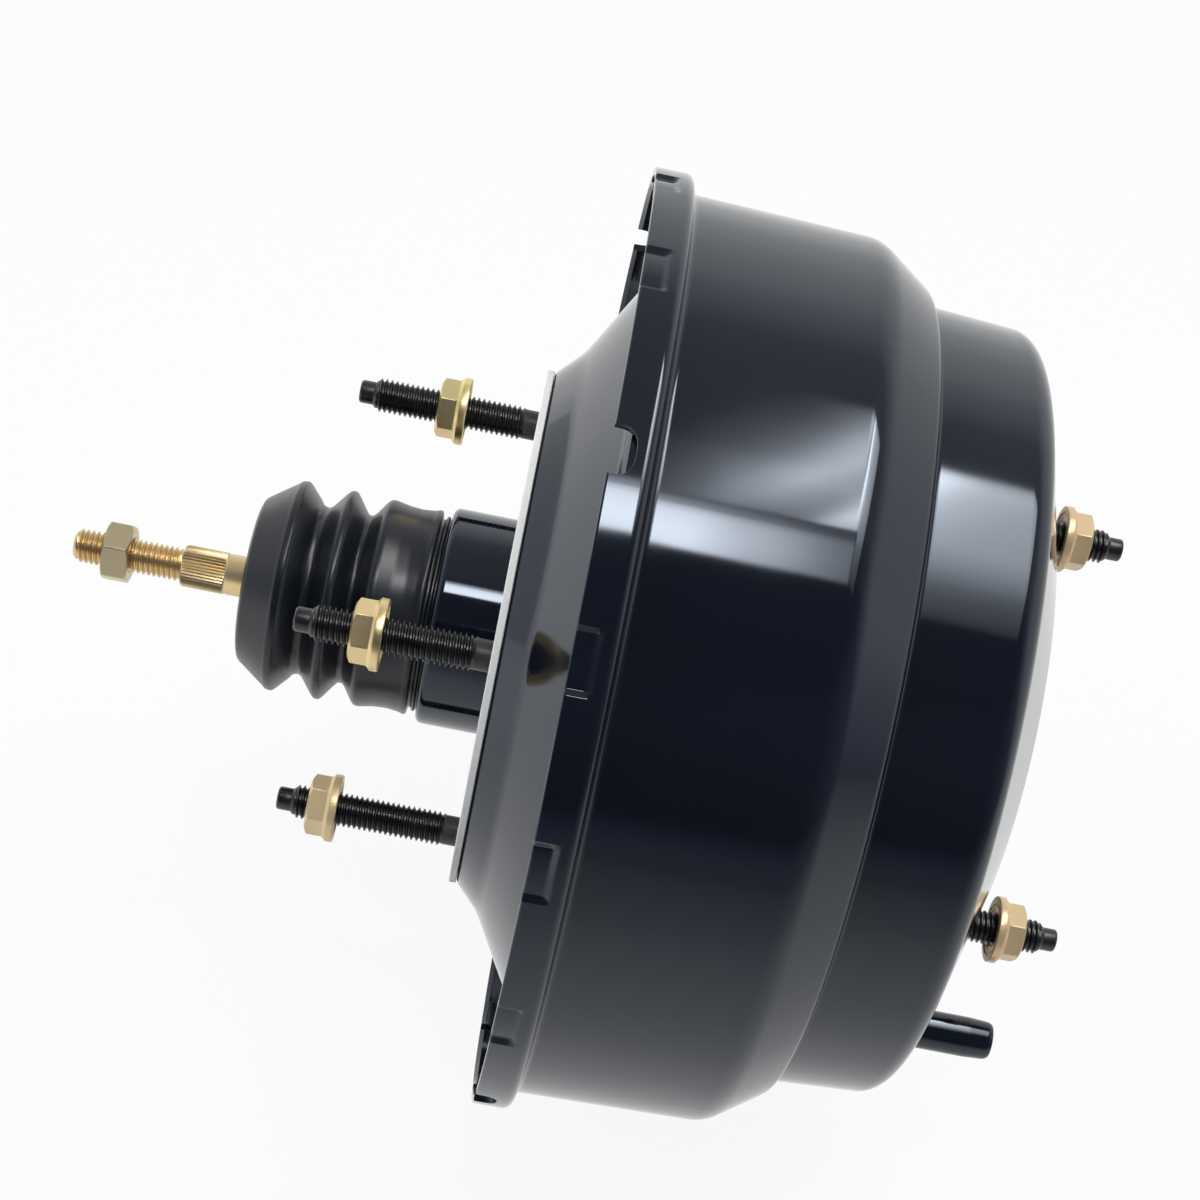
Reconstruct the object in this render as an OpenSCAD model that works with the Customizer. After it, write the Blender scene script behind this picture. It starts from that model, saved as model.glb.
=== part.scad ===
// Vacuum brake booster with two power chambers.
// X runs along the booster, rear (firewall) to front (master cylinder); Z is up.
// The origin is the centre of the firewall mounting face. All sizes in millimetres.

/* [Shells] */
// outer radius of the crimped rim
rim_r = 111.8; // [106:0.1:118]
// where the open edge of the rim stands, from the firewall face
rim_x = 14.9; // [14:0.1:17]
// sheet thickness of both shells
shell_t = 1.8; // [1.4:0.1:2.2]
// outer radius of the large can beside the rim
can_r = 107.5; // [105:0.1:109]
// outer radius of the small can beside its shoulder
small_can_r = 93.9; // [91:0.1:95]
// where the steep face of the shoulder stands
shoulder_x = 81.5; // [79:0.1:84]
// plane of the flat seat for the master cylinder
seat_x = 119; // [118:0.1:122]
// radius of the flat seat
seat_r = 57.1; // [57:0.1:60]
// slope of the front face outside the seat, in degrees
front_a = 18.7; // [16:0.1:19]
// rounding between the small can and the front face
corner_r = 5.6; // [4:0.1:7]

/* [Rim crimp] */
// pressed lances round the rim, in groups of three between the notches
lance_w = 12; // [8:0.5:16]
// how far each pressed lance reaches along the rim
lance_len = 4.3; // [3.6:0.1:4.8]
// depth of each pressed lance
lance_d = 0.9; // [0.5:0.1:1.1]
// radius of the four round-ended notches
notch_r = 4.8; // [3:0.1:5]
// angle of the first notch, from +Y towards +Z
notch_phase = 24.8; // [0:0.1:45]

/* [Firewall side] */
// outer radius of the neck tube
neck_r = 26.1; // [25.5:0.1:26.8]
// how far the neck stands behind the firewall face
neck_len = 15.7; // [14:0.1:18]
// radius of the flat mounting face
face_r = 60.6; // [60:0.1:61]
// thickness of the firewall gasket
gasket_t = 1.5; // [1:0.1:2]
// radius of the firewall gasket
gasket_r = 62; // [58:0.5:64]
// width between firewall studs, along Y
stud_gap_y = 80; // [78:0.5:81]
// height between firewall studs, along Z
stud_gap_z = 60; // [56:0.5:61]

/* [Studs and nuts] */
// outer radius of the threads on studs and pushrod
stud_r = 4; // [3.9:0.05:4.1]
// radius of the plain shank between a stud's collar and its thread
shank_r = 3.55; // [3.5:0.05:3.7]
// radius of the collar pressed into the sheet
collar_r = 4.4; // [4.3:0.05:4.6]
// radius of the gasket's holes for the studs
gasket_hole_r = 5; // [4.8:0.1:5.5]
// how far the firewall studs stand out
stud_len = 43.7; // [40:0.1:50]
// distance of each master cylinder stud from the axis
mc_stud_off = 48.5; // [46:0.5:51]
// how far the master cylinder studs stand in front of the seat
mc_stud_len = 26.5; // [24:0.1:32]
// width across flats of the flange nuts
nut_af = 12; // [12:0.5:13]
// height of a flange nut
nut_h = 8; // [7:0.1:8.5]
// radius of the nut's flange
nut_flange_r = 8.6; // [8:0.1:9]

/* [Vacuum tube] */
// distance of the vacuum tube from the axis
tube_off = 75.7; // [73:0.1:76]
// direction of the vacuum tube, from +Y towards +Z
tube_angle = 224.8; // [222:0.1:240]
// outer radius of the vacuum tube
tube_r = 4.9; // [4.6:0.1:5.1]
// radius of the thicker root that is brazed into the shell
tube_root_r = 5.2; // [5.1:0.1:5.6]
// where the vacuum tube ends
tube_end_x = 136.4; // [130:0.1:142]

/* [Master cylinder seat] */
// radius of the pilot bore for the master cylinder
pilot_r = 16; // [15:0.1:16.2]
// length of the pilot collar inside the front shell
pilot_len = 8; // [7:0.1:9]

/* [Boot] */
// outer radius of the boot's widest fold
boot_r = 25.3; // [24:0.1:27]
// outer radius in the boot's grooves
boot_groove_r = 20.4; // [20.1:0.1:21.5]
// rear end of the boot
boot_x = -60.2; // [-62:0.1:-59]
// wall of the boot's folds
boot_t = 1.7; // [1.4:0.1:2]

/* [Pushrod] */
// radius of the operating rod
rod_r = 4.9; // [4.7:0.05:5]
// tip of the operating rod
rod_tip_x = -102.4; // [-110:0.1:-98]
// where the threaded end of the rod begins
rod_thread_x = -76.6; // [-80:0.1:-72]
// centre of the lock nut on the rod
rod_nut_x = -91.9; // [-94:0.1:-86]
// width across flats of the lock nut
rod_nut_af = 13; // [12:0.5:14]
// height of the lock nut
rod_nut_h = 6.4; // [5:0.1:7]
// centre of the rod's ball, in the plunger
ball_x = 19; // [18.5:0.1:19.4]
// radius of the rod's ball
ball_r = 4.6; // [4.2:0.1:4.8]

/* [Valve body] */
// radius of the tail that slides in the neck seal
tail_r = 17.5; // [17:0.1:17.8]
// bore of the tail
tail_bore_r = 14.5; // [14.2:0.1:14.8]
// radius of the hub that slides in the centre seal
hub_r = 25.5; // [25:0.1:26]
// front end of the hub
hub_end_x = 82; // [81.5:0.1:84]
// radius of the plunger bore
plunger_bore_r = 7; // [6.8:0.05:7.2]
// radius of the reaction disc
disc_r = 12; // [11:0.1:12.4]
// radius of the output rod
out_rod_r = 6; // [5:0.1:6.2]
// front end of the output rod, where its tip is screwed in
out_rod_x = 113; // [111:0.1:115]
// radius of the output rod's tip
tip_r = 4.6; // [4:0.1:4.8]
// travel of the plunger inside the valve body
valve_travel = 2; // [1.5:0.1:2.5]
// radius of the vacuum passages
passage_r = 3; // [2:0.1:3]

/* [Springs] */
// wire radius of the main return spring
main_wire_r = 1.6; // [1.2:0.1:1.8]
// wire radius of the rod return spring
rod_wire_r = 0.9; // [0.6:0.1:1]
// wire radius of the poppet spring
poppet_wire_r = 0.5; // [0.4:0.1:0.6]

/* [Fits] */
// radial clearance of each sliding fit
slide_gap = 0.05; // [0.02:0.01:0.1]
// radial clearance round a bolt or a loose sleeve
bolt_gap = 0.3; // [0.2:0.1:0.5]

/* [Hidden] */
$fn = 96;
tiny = 0.01;
rear_x = gasket_t;
inner_rear_x = rear_x + shell_t;
rear_plate_t = 2.5;
rear_plate_r = norm([stud_gap_y, stud_gap_z]) / 2 + 10;
head_h = 2.5;
head_r = 7;
rim_in = rim_r - shell_t;
lance_set = 0.5;
flange_x = rim_x + 3.5;
bead_x = flange_x + shell_t;
dish_a = 31;
dish_bend_r = 6;
dish_foot_r = face_r + 27.2;
step_x = rim_x + 9.1;
bead_end_x = step_x - shell_t;
can_x = step_x + 1.6;
can_end_x = 65.2;
can_end_r = can_r - 1.1;
cone_a = 34.7;
can_taper = 1.2;
corner_c = small_can_r - can_taper - corner_r;
corner_end_r = corner_c + corner_r * sin(front_a);
corner_x = front_face(corner_end_r) - corner_r * cos(front_a);
seat_edge_r = 3;
seat_in_x = seat_x - shell_t;
front_plate_t = 3;
front_plate_x = seat_in_x - front_plate_t;
front_plate_r = seat_r - 1.1;
shank_len = 5;
mc_shank_len = 4;
firewall_nut_x = [-16.6, -23.1, -28.5, -20];
firewall_nut_turn = [12, 20, 5, 25];
mc_nut_gap = 10.8;
tube_bore_r = 3.3;
tube_root_x = 117.3;
tube_in_x = 108.5;
stud_a = atan2(stud_gap_z, stud_gap_y);
neck_in = neck_r - shell_t;
seal_x = -12;
seal_len = 8;
tail_x = -57;
ledge_x = 18;
cup_x = 47;
pocket_x = 44;
pocket_out = hub_r - 3.3;
pocket_room = 0.9;
pocket_in = pocket_out - 2 * (main_wire_r + pocket_room);
spring_front_r = pilot_r + shell_t + bolt_gap + main_wire_r;
cup_end_x = 60;
rear_disc_x = 11;
web_bend_r = face_r - 3;
web_out_r = web_bend_r + 9;
disc_t = 1.2;
rubber_t = 1.4;
disc_gap = 0.3;
web_rise = bead_x + disc_gap + rubber_t - rear_disc_x;
rear_hub_x = rear_disc_x + disc_t;
hub_flange_r = hub_r + 4.5;
hub_flange_t = 3.3;
hub_ring_t = 1.5;
bead_hub_t = 2.5;
rear_ring_r = tail_r + 8.5;
front_bead_r = hub_r + 8;
front_disc_x = 78;
front_disc_r = small_can_r - 13.9;
front_lip = 4.5;
rear_disc_r = can_r - 17.5;
centre_seal_x = 58;
centre_seal_len = 8;
centre_seal_r = hub_r + 4;
centre_t = 1.5;
centre_rim_x = shoulder_x - 7;
centre_rim_r = small_can_r - 7.9;
poppet_x = 13.2;
retainer_x = -1;
retainer_t = 2;
washer_x = -30;
washer_t = 1.5;
key_x = 26;
key_t = 2.5;
key_gap = 0.3;
key_w = 14;
filter_x = tail_x + 0.5;
filter_len = 13.5;
felt_len = 5;
washer_r = tail_bore_r - 3;
retainer_in_r = 8;
seat_disc_r = 9.3;
seat_disc_t = 2.2;
socket_mouth_r = 4.1;
lip_in_r = 10.6;
lip_out_r = 11.6;
lip_gap = 0.5;
reaction_t = 5;
rod_spring_r = 9.6;
rod_spring_front_r = 10.2;
poppet_spring_r = 9.4;
poppet_len = 9.2;
poppet_out_r = 12.2;
passage_off = 16;
tip_thread_r = 3;
groove_r = 3.7;

// points of an arc, from one angle to another
function arc(c, r, a0, a1, n = 8) =
  [for (i = [0:n]) let(a = a0 + (a1 - a0) * i / n) [c[0] + r * cos(a), c[1] + r * sin(a)]];

function unit(v) = v / norm(v);

// a profile line moved sideways by t, mitred at each point
function moved(p, t) = [for (i = [0:len(p) - 1])
  let(d0 = unit(p[max(i, 1)] - p[max(i, 1) - 1]),
      j = min(i, len(p) - 2),
      d1 = unit(p[j + 1] - p[j]),
      n0 = [-d0[1], d0[0]],
      n1 = [-d1[1], d1[0]],
      m = unit(n0 + n1))
  p[i] + m * t / (m * n0)];

function reversed(p) = [for (i = [len(p) - 1:-1:0]) p[i]];

// a sheet of thickness t on one side of a profile line
function sheet(p, t) = concat(p, reversed(moved(p, t)));

// a closed profile of [x, radius] points turned about the X axis
module turn(p) {
  rotate([0, 90, 0])
    rotate_extrude()
      polygon([for (q = p) [q[1], q[0]]]);
}

// a plain ring or disc about the X axis
module ring(x0, x1, r_in, r_out) {
  turn([[x0, r_in], [x1, r_in], [x1, r_out], [x0, r_out]]);
}

// a cylinder along X, at a distance from the axis
module rod(x0, x1, r, off = 0, a = 0) {
  rotate([a, 0, 0])
    translate([x0, off, 0])
      rotate([0, 90, 0])
        cylinder(r = r, h = x1 - x0);
}

// places its child on each firewall stud's line
module at_firewall_studs() {
  for (y = [-1, 1])
    for (z = [-1, 1])
      translate([0, y * stud_gap_y / 2, z * stud_gap_z / 2])
        children();
}

// places its child on each master cylinder stud's line
module at_mc_studs() {
  for (a = [stud_a, stud_a + 180])
    rotate([a, 0, 0])
      translate([0, mc_stud_off, 0])
        children();
}

// outer line of the front shell, from the rim's edge to the pilot collar
function front_line() = concat(
  [[rim_x, rim_r]],
  arc([step_x - 2.2, rim_r - 2.2], 2.2, 90, 0, 6),
  arc([can_x, can_r + 1.6], 1.6, 180, 270, 6),
  arc([can_end_x, can_end_r - 10], 10, 90, 90 - cone_a, 8),
  arc([shoulder_x - 3, shoulder_c()], 3, 90 - cone_a, 0, 6),
  arc([shoulder_x + 1.1, small_can_r + 1.1], 1.1, 180, 270, 6),
  arc([corner_x, corner_c], corner_r, 90, front_a, 12),
  arc([seat_x - seat_edge_r, seat_r - seat_edge_r * tan(front_a / 2)], seat_edge_r, front_a, 0, 5),
  arc([seat_x - 2.3, pilot_r + 2.3], 2.3, 0, -90, 6),
  [[seat_x - pilot_len, pilot_r]]);

// where the sloping front face stands at radius r
function front_face(r) = seat_x - (r - seat_r) * tan(front_a);

// height of the arc centre at the foot of the cone
function shoulder_c() = can_end_r - 10 + 7 * sin(90 - cone_a)
  - (shoulder_x - 3 - can_end_x - 7 * cos(90 - cone_a)) * tan(cone_a);

// front shell: stepped can with the crimped rim, lances and notches
module front_shell() {
  color("#15171c")
    difference() {
      union() {
        turn(sheet(front_line(), -shell_t));
        for (k = [0:15])
          if (k % 4 != 0)
            rotate([notch_phase + k * 22.5, 0, 0])
              translate([rim_x + lance_set, rim_in - 1.2, -lance_w / 2 + 0.6])
                cube([lance_len - 1 - lance_set, 1.5, lance_w - 1.2]);
      }
      for (k = [0:15])
        rotate([notch_phase + k * 22.5, 0, 0])
          if (k % 4 == 0)
            translate([rim_x + 0.3, rim_in - 2, 0])
              rotate([-90, 0, 0])
                cylinder(r = notch_r, h = shell_t + 4);
          else
            translate([rim_x - 1, rim_r - lance_d, -lance_w / 2])
              cube([lance_len + 1, 3, lance_w]);
      rotate([tube_angle, 0, 0])
        rod(front_disc_x, tube_end_x, tube_root_r, tube_off);
      at_mc_studs()
        rod(seat_in_x - 1, seat_x + 1, collar_r);
    }
}

// rear-facing line of the rear shell, from the neck's end to the crimped flange
function rear_line() = concat(
  [[-neck_len, neck_r]],
  arc([rear_x - 1.2, neck_r + 1.2], 1.2, 270, 360, 5),
  arc([rear_x + 2.4, face_r], 2.4, 180, 135, 5),
  [[rear_x + 5.5, face_r + 6.5], [rear_x + 6.8, face_r + 8.4], [rear_x + 8, face_r + 10.4]],
  arc([flange_x - dish_bend_r, dish_foot_r], dish_bend_r, -dish_a, 0, 6),
  [[flange_x, rim_in - 0.3]]);

// rear shell: neck, mounting face, dished wall and crimped flange
module rear_shell() {
  color("#15171c")
    difference() {
      turn(sheet(rear_line(), -shell_t));
      at_firewall_studs()
        rod(rear_x - 1, inner_rear_x + 1, collar_r);
    }
}

// paper gasket between the shell and the firewall
module firewall_gasket() {
  color("#f2f1ec")
    difference() {
      ring(0, gasket_t, neck_r + 1.3, gasket_r);
      at_firewall_studs()
        rod(-1, gasket_t + 1, gasket_hole_r);
    }
}

// pressed plate that spreads the firewall stud load
module rear_reinforcement() {
  color("#8d9094")
    difference() {
      ring(inner_rear_x, inner_rear_x + rear_plate_t, neck_r + 1.5, rear_plate_r);
      at_firewall_studs()
        rod(inner_rear_x - 1, inner_rear_x + rear_plate_t + 1, collar_r);
    }
}

// one stud: head inside, collar in the sheet, plain shank, thread and dog point
module stud(x_head, x_sheet, x_thread, x_tip) {
  d = x_tip > x_head ? 1 : -1;
  turn([[x_head - d * head_h, 0], [x_head - d * head_h, head_r - 0.4],
    [x_head - d * (head_h - 0.4), head_r], [x_head, head_r], [x_head, collar_r],
    [x_sheet, collar_r], [x_sheet, shank_r], [x_thread, shank_r], [x_thread, stud_r],
    [x_tip - d * 4.7, stud_r], [x_tip - d * 3.5, 2.75], [x_tip - d * 0.5, 2.75],
    [x_tip, 2.2], [x_tip, 0]]);
}

// four studs that hold the booster to the firewall
module firewall_studs() {
  color("#1b1b1d")
    at_firewall_studs()
      stud(inner_rear_x + rear_plate_t, rear_x, rear_x - shank_len, -stud_len);
}

// flange nut with its flange at x_flange, body towards +X when d is 1
module flange_nut(x_flange, d, turned) {
  difference() {
    union() {
      turn([[x_flange, 0], [x_flange, nut_flange_r - 0.3], [x_flange + d * 0.5, nut_flange_r],
        [x_flange + d * 1.3, nut_flange_r], [x_flange + d * 2.4, nut_af / 2], [x_flange + d * 2.4, 0]]);
      intersection() {
        rotate([turned, 0, 0])
          translate([d > 0 ? x_flange : x_flange - nut_h, 0, 0])
            rotate([0, 90, 0])
              cylinder(r = nut_af / sqrt(3), h = nut_h, $fn = 6);
        turn([[x_flange, 0], [x_flange, nut_af], [x_flange + d * (nut_h - 2), nut_af],
          [x_flange + d * nut_h, nut_af / 2 - 0.1], [x_flange + d * nut_h, 0]]);
      }
    }
    rod(x_flange - 20, x_flange + 20, stud_r);
  }
}

// flange nuts part-way along the firewall studs
module firewall_nuts() {
  spots = [[1, 1], [-1, 1], [-1, -1], [1, -1]];
  color("#cdbf8e")
    for (i = [0:3])
      translate([0, spots[i][0] * stud_gap_y / 2, spots[i][1] * stud_gap_z / 2])
        flange_nut(firewall_nut_x[i], -1, firewall_nut_turn[i]);
}

// plate behind the front face, seat of the main return spring
module front_reinforcement() {
  color("#8d9094")
    difference() {
      ring(front_plate_x, seat_in_x, pilot_r + shell_t, front_plate_r);
      at_mc_studs()
        rod(front_plate_x - 1, seat_x, collar_r);
    }
}

// two studs for the master cylinder
module master_cylinder_studs() {
  color("#1b1b1d")
    at_mc_studs()
      stud(front_plate_x, seat_x, seat_x + mc_shank_len, seat_x + mc_stud_len);
}

// flange nuts on the master cylinder studs
module master_cylinder_nuts() {
  color("#cdbf8e")
    at_mc_studs()
      flange_nut(seat_x + mc_nut_gap, 1, 10);
}

// tube that takes the vacuum hose
module vacuum_tube() {
  color("#111214")
    rotate([tube_angle, 0, 0])
      translate([0, tube_off, 0])
        turn([[tube_in_x, tube_bore_r], [tube_end_x, tube_bore_r], [tube_end_x, tube_r - 0.8],
          [tube_end_x - 0.8, tube_r - 0.4], [tube_end_x - 6, tube_r], [tube_root_x, tube_r],
          [tube_root_x, tube_root_r], [tube_in_x, tube_root_r]]);
}

// inside radius of the front shell's cone at x
function cone_in(x) = shoulder_c() + (3 - shell_t) * sin(90 - cone_a)
  + (shoulder_x - 3 + (3 - shell_t) * cos(90 - cone_a) - x) * tan(cone_a);

// wall between the two power chambers
module centre_plate() {
  color("#a4a7ab")
    turn([[centre_seal_x - 1, centre_seal_r], [centre_seal_x + centre_seal_len, centre_seal_r],
      [centre_seal_x + centre_seal_len, centre_seal_r - 2],
      [centre_seal_x + centre_seal_len + centre_t, centre_seal_r - 2],
      [centre_seal_x + centre_seal_len + centre_t, centre_rim_r - 12],
      [centre_rim_x, centre_rim_r - 2], [centre_rim_x + centre_t, centre_rim_r],
      [centre_rim_x + centre_t, cone_in(centre_rim_x + centre_t)],
      [centre_rim_x, cone_in(centre_rim_x)], [centre_rim_x, centre_rim_r + 0.6],
      [centre_seal_x + centre_seal_len + 0.2, centre_rim_r - 10.6],
      [centre_seal_x + centre_seal_len, centre_rim_r - 13],
      [centre_seal_x + centre_seal_len, centre_seal_r + centre_t],
      [centre_seal_x - 1, centre_seal_r + centre_t]]);
}

// seal that runs on the valve body's tail
module neck_seal() {
  color("#222326")
    turn([[seal_x, tail_r + slide_gap], [seal_x + seal_len, tail_r + slide_gap],
      [seal_x + seal_len, neck_in], [seal_x, neck_in], [seal_x, neck_in - 1.5],
      [seal_x + 4, neck_in - 1.8], [seal_x + 4, tail_r + 1.8], [seal_x, tail_r + 1.6]]);
}

// push-in ring that keeps the neck seal in place
module neck_retainer() {
  color("#b9bcc0")
    turn([[seal_x + seal_len, tail_r + 1.5], [seal_x + seal_len + 1, tail_r + 1.5],
      [seal_x + seal_len + 1, neck_in - 1], [seal_x + seal_len + 3, neck_in - 1],
      [seal_x + seal_len + 3, neck_in], [seal_x + seal_len, neck_in]]);
}

// seal in the centre plate that runs on the hub
module centre_seal() {
  color("#222326")
    turn([[centre_seal_x, hub_r + slide_gap], [centre_seal_x + centre_seal_len, hub_r + slide_gap],
      [centre_seal_x + centre_seal_len, centre_seal_r], [centre_seal_x, centre_seal_r],
      [centre_seal_x, hub_r + 2.6], [centre_seal_x + 4, hub_r + 2.4], [centre_seal_x + 4, hub_r + 1.4],
      [centre_seal_x, hub_r + 1.2]]);
}

// rear diaphragm: hub bead, flat web, rolling fold and rim bead
module rear_diaphragm() {
  in_r = rear_disc_r + 1.5;
  out_r = can_r - shell_t - 1.7;
  line = concat([[rear_disc_x, rear_ring_r], [rear_disc_x, web_bend_r], [rear_disc_x + web_rise, web_out_r],
    [rear_disc_x + web_rise, in_r]],
    arc([rear_disc_x + web_rise + 11.4, (in_r + out_r) / 2], (out_r - in_r) / 2, -90, 90, 10),
    [[bead_end_x + 0.2, out_r]]);
  color("#26272a") {
    turn(sheet(line, rubber_t));
    ring(rear_disc_x - bead_hub_t, rear_disc_x, tail_r, rear_ring_r + 0.5);
    turn([[bead_x, rim_in - 3.6], [bead_x, rim_in - 0.4], [bead_x + 0.4, rim_in],
      [bead_end_x - 0.4, rim_in], [bead_end_x, rim_in - 0.6], [bead_end_x, can_r + 1],
      [bead_end_x + 0.3, can_r - 1.5], [bead_end_x + 0.3, out_r - 0.2], [bead_x + 1.2, out_r - 0.2]]);
  }
}

// front diaphragm: hub bead, flat web, rolling fold and rim bead
module front_diaphragm() {
  wall_r = small_can_r - shell_t - 0.7;
  in_r = front_disc_r + 1;
  nose_x = shoulder_x - shell_t - 0.1;
  line = concat([[front_disc_x, front_bead_r - 0.5], [front_disc_x, in_r]],
    arc([front_disc_x + 8, (in_r + wall_r) / 2], (wall_r - in_r) / 2, -90, 90, 10),
    [[nose_x + 0.4, wall_r]]);
  color("#26272a") {
    turn(sheet(line, rubber_t));
    ring(front_disc_x - bead_hub_t, front_disc_x, hub_r, front_bead_r);
    turn([[centre_rim_x + centre_t, wall_r - rubber_t], [nose_x + 0.6, wall_r - rubber_t],
      [nose_x + 0.6, wall_r], [nose_x, wall_r + 0.4], [nose_x, small_can_r + 1.3],
      [centre_rim_x + centre_t, cone_in(centre_rim_x + centre_t) - 1.5]]);
  }
}

// inner pistons: pressed discs that carry the diaphragms
module rear_piston_plate() {
  line = [[rear_disc_x, tail_r], [rear_disc_x, web_bend_r], [rear_disc_x + web_rise, web_out_r],
    [rear_disc_x + web_rise, rear_disc_r - 2], [rear_disc_x + web_rise + 1.4, rear_disc_r],
    [rear_disc_x + web_rise + 5.4, rear_disc_r]];
  color("#b4b7ba")
    turn(sheet(line, -disc_t));
}

// front pressed disc
module front_piston_plate() {
  line = [[front_disc_x, hub_r], [front_disc_x, front_disc_r - 2],
    [front_disc_x + 1.4, front_disc_r], [front_disc_x + front_lip, front_disc_r]];
  color("#b4b7ba")
    turn(sheet(line, -disc_t));
}

// ring that clamps the rear diaphragm to the valve body
module rear_hub_ring() {
  color("#8d9094")
    ring(rear_disc_x - bead_hub_t - hub_ring_t, rear_disc_x - bead_hub_t, tail_r, rear_ring_r);
}

// ring that clamps the front disc to the hub
module front_hub_ring() {
  color("#8d9094")
    ring(front_disc_x + disc_t, front_disc_x + disc_t + hub_ring_t, hub_r, hub_flange_r);
}

// valve body: tail, valve seat, hub with the spring pocket and the reaction cup
module valve_body() {
  color("#2b2420")
    difference() {
      turn([[tail_x, tail_bore_r], [ledge_x, tail_bore_r], [ledge_x, lip_out_r],
        [poppet_x + lip_gap, lip_out_r - 0.2], [poppet_x + lip_gap, lip_in_r + 0.2],
        [ledge_x, lip_in_r],
        [ledge_x, plunger_bore_r], [cup_x, plunger_bore_r], [cup_x, disc_r],
        [cup_end_x, disc_r], [cup_end_x, pocket_in], [pocket_x, pocket_in],
        [pocket_x, pocket_out], [hub_end_x, pocket_out], [hub_end_x, hub_r],
        [rear_hub_x + hub_flange_t, hub_r], [rear_hub_x + hub_flange_t, hub_flange_r],
        [rear_hub_x, hub_flange_r], [rear_hub_x, tail_r], [tail_x, tail_r]]);
      for (a = [45:90:315])
        rotate([a, 0, 0])
          translate([poppet_x, passage_off, 0])
            rotate([0, 90, 0])
              cylinder(r = passage_r, h = pocket_x + 1 - poppet_x);
      translate([key_x - tiny, -key_w / 2 - 0.1, -7])
        cube([key_t + 2 * tiny, key_w + 0.2, hub_r + 10]);
    }
}

// plate that ties the plunger to the valve body
module stop_key() {
  color("#9a9da1")
    difference() {
      translate([key_x, -key_w / 2, -6.5])
        cube([key_t, key_w, hub_r + 5.5]);
      translate([key_x - 1, -groove_r - 0.2, -10])
        cube([key_t + 2, 2 * groove_r + 0.4, 10]);
      rod(key_x - 1, key_x + key_t + 1, groove_r + 0.2);
    }
}

// plunger: air valve seat, crimped ball socket and key groove
module plunger() {
  r = plunger_bore_r - slide_gap;
  socket = ball_r + slide_gap;
  a = asin(socket_mouth_r / socket);
  color("#c2c4c6")
    turn(concat(
      [[poppet_x, socket_mouth_r + 0.8]],
      [[ball_x - socket * cos(a) - 0.8, socket_mouth_r]],
      arc([ball_x, 0], socket, 180 - a, 0, 20),
      [[cup_x - valve_travel - key_gap, 0], [cup_x - valve_travel - key_gap, r],
       [key_x + key_t + key_gap, r],
       [key_x + key_t + key_gap, groove_r], [key_x - valve_travel - key_gap, groove_r],
       [key_x - valve_travel - key_gap, r], [poppet_x + seat_disc_t, r],
       [poppet_x + seat_disc_t, seat_disc_r - 0.7], [poppet_x + seat_disc_t - 0.8, seat_disc_r],
       [poppet_x + 0.4, seat_disc_r], [poppet_x, seat_disc_r - 0.4]]));
}

// rubber valve that closes on the two seats
module poppet() {
  x = retainer_x + retainer_t;
  color("#1d1e20")
    turn([[x, 12.6], [x, tail_bore_r], [x + 3, tail_bore_r], [x + 3, 12.9],
      [x + 9.4, poppet_out_r + 0.1], [poppet_x, poppet_out_r], [poppet_x, plunger_bore_r],
      [x + poppet_len, plunger_bore_r], [x + poppet_len, 11.1],
      [x + 2, 11.7], [x + 1.4, 12.6]]);
}

// ring that carries the poppet and both small springs
module poppet_retainer() {
  color("#b9bcc0")
    ring(retainer_x, retainer_x + retainer_t, retainer_in_r, tail_bore_r);
}

// a coil spring with closed ends, from x0 to x1, as one swept wire;
// its radius stays r for the first straight turns and then goes to end_r
module coil(x0, x1, r, wire, turns, end_r, straight = 0) {
  n = 20 * turns;
  dead = 1.25;
  h = x1 - x0 - 2 * wire;
  function climb(t) = t < dead ? t * 2 * wire
    : t > turns - dead ? h - (turns - t) * 2 * wire
    : dead * 2 * wire + (t - dead) * (h - 4 * wire * dead) / (turns - 2 * dead);
  function spot(i) = let(t = i * turns / n, q = r + (end_r - r) * max(0, t - straight) / (turns - straight))
    [x0 + wire + climb(t), q * cos(360 * t), q * sin(360 * t)];
  function skin(i) = let(
      a = 360 * i * turns / n,
      s = (spot(min(i + 1, n)) - spot(max(i - 1, 0))),
      u = [0, cos(a), sin(a)],
      v = unit(cross(s, u)))
    [for (k = [0:7]) spot(i) + wire * (cos(45 * k) * u + sin(45 * k) * v)];
  pts = [for (i = [0:n]) each skin(i)];
  sides = [for (i = [0:n - 1]) for (k = [0:7]) each [
    [8 * i + k, 8 * i + (k + 1) % 8, 8 * (i + 1) + (k + 1) % 8],
    [8 * i + k, 8 * (i + 1) + (k + 1) % 8, 8 * (i + 1) + k]]];
  caps = concat([for (k = [1:6]) [0, k + 1, k]],
    [for (k = [1:6]) [8 * n, 8 * n + k, 8 * n + k + 1]]);
  polyhedron(pts, concat(sides, caps));
}

// spring that returns the two discs
module main_return_spring() {
  color("#7d8086")
    coil(pocket_x, front_plate_x, (pocket_in + pocket_out) / 2, main_wire_r, 8, spring_front_r, 5);
}

// spring that returns the operating rod
module rod_return_spring() {
  color("#8a8d92")
    coil(washer_x + washer_t, retainer_x, rod_spring_r, rod_wire_r, 7, rod_spring_front_r);
}

// light spring behind the poppet's face
module poppet_spring() {
  color("#8a8d92")
    coil(retainer_x + retainer_t, retainer_x + retainer_t + poppet_len, poppet_spring_r,
      poppet_wire_r, 5, poppet_spring_r);
}

// open-cell ring that filters the air
module air_filter() {
  color("#6f6a60")
    ring(filter_x, filter_x + filter_len, rod_r + 2 * slide_gap, tail_bore_r);
}

// felt ring behind the filter
module silencer() {
  color("#c9c4b6")
    ring(filter_x + filter_len, filter_x + filter_len + felt_len, rod_r + 2 * slide_gap,
      tail_bore_r);
}

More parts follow.
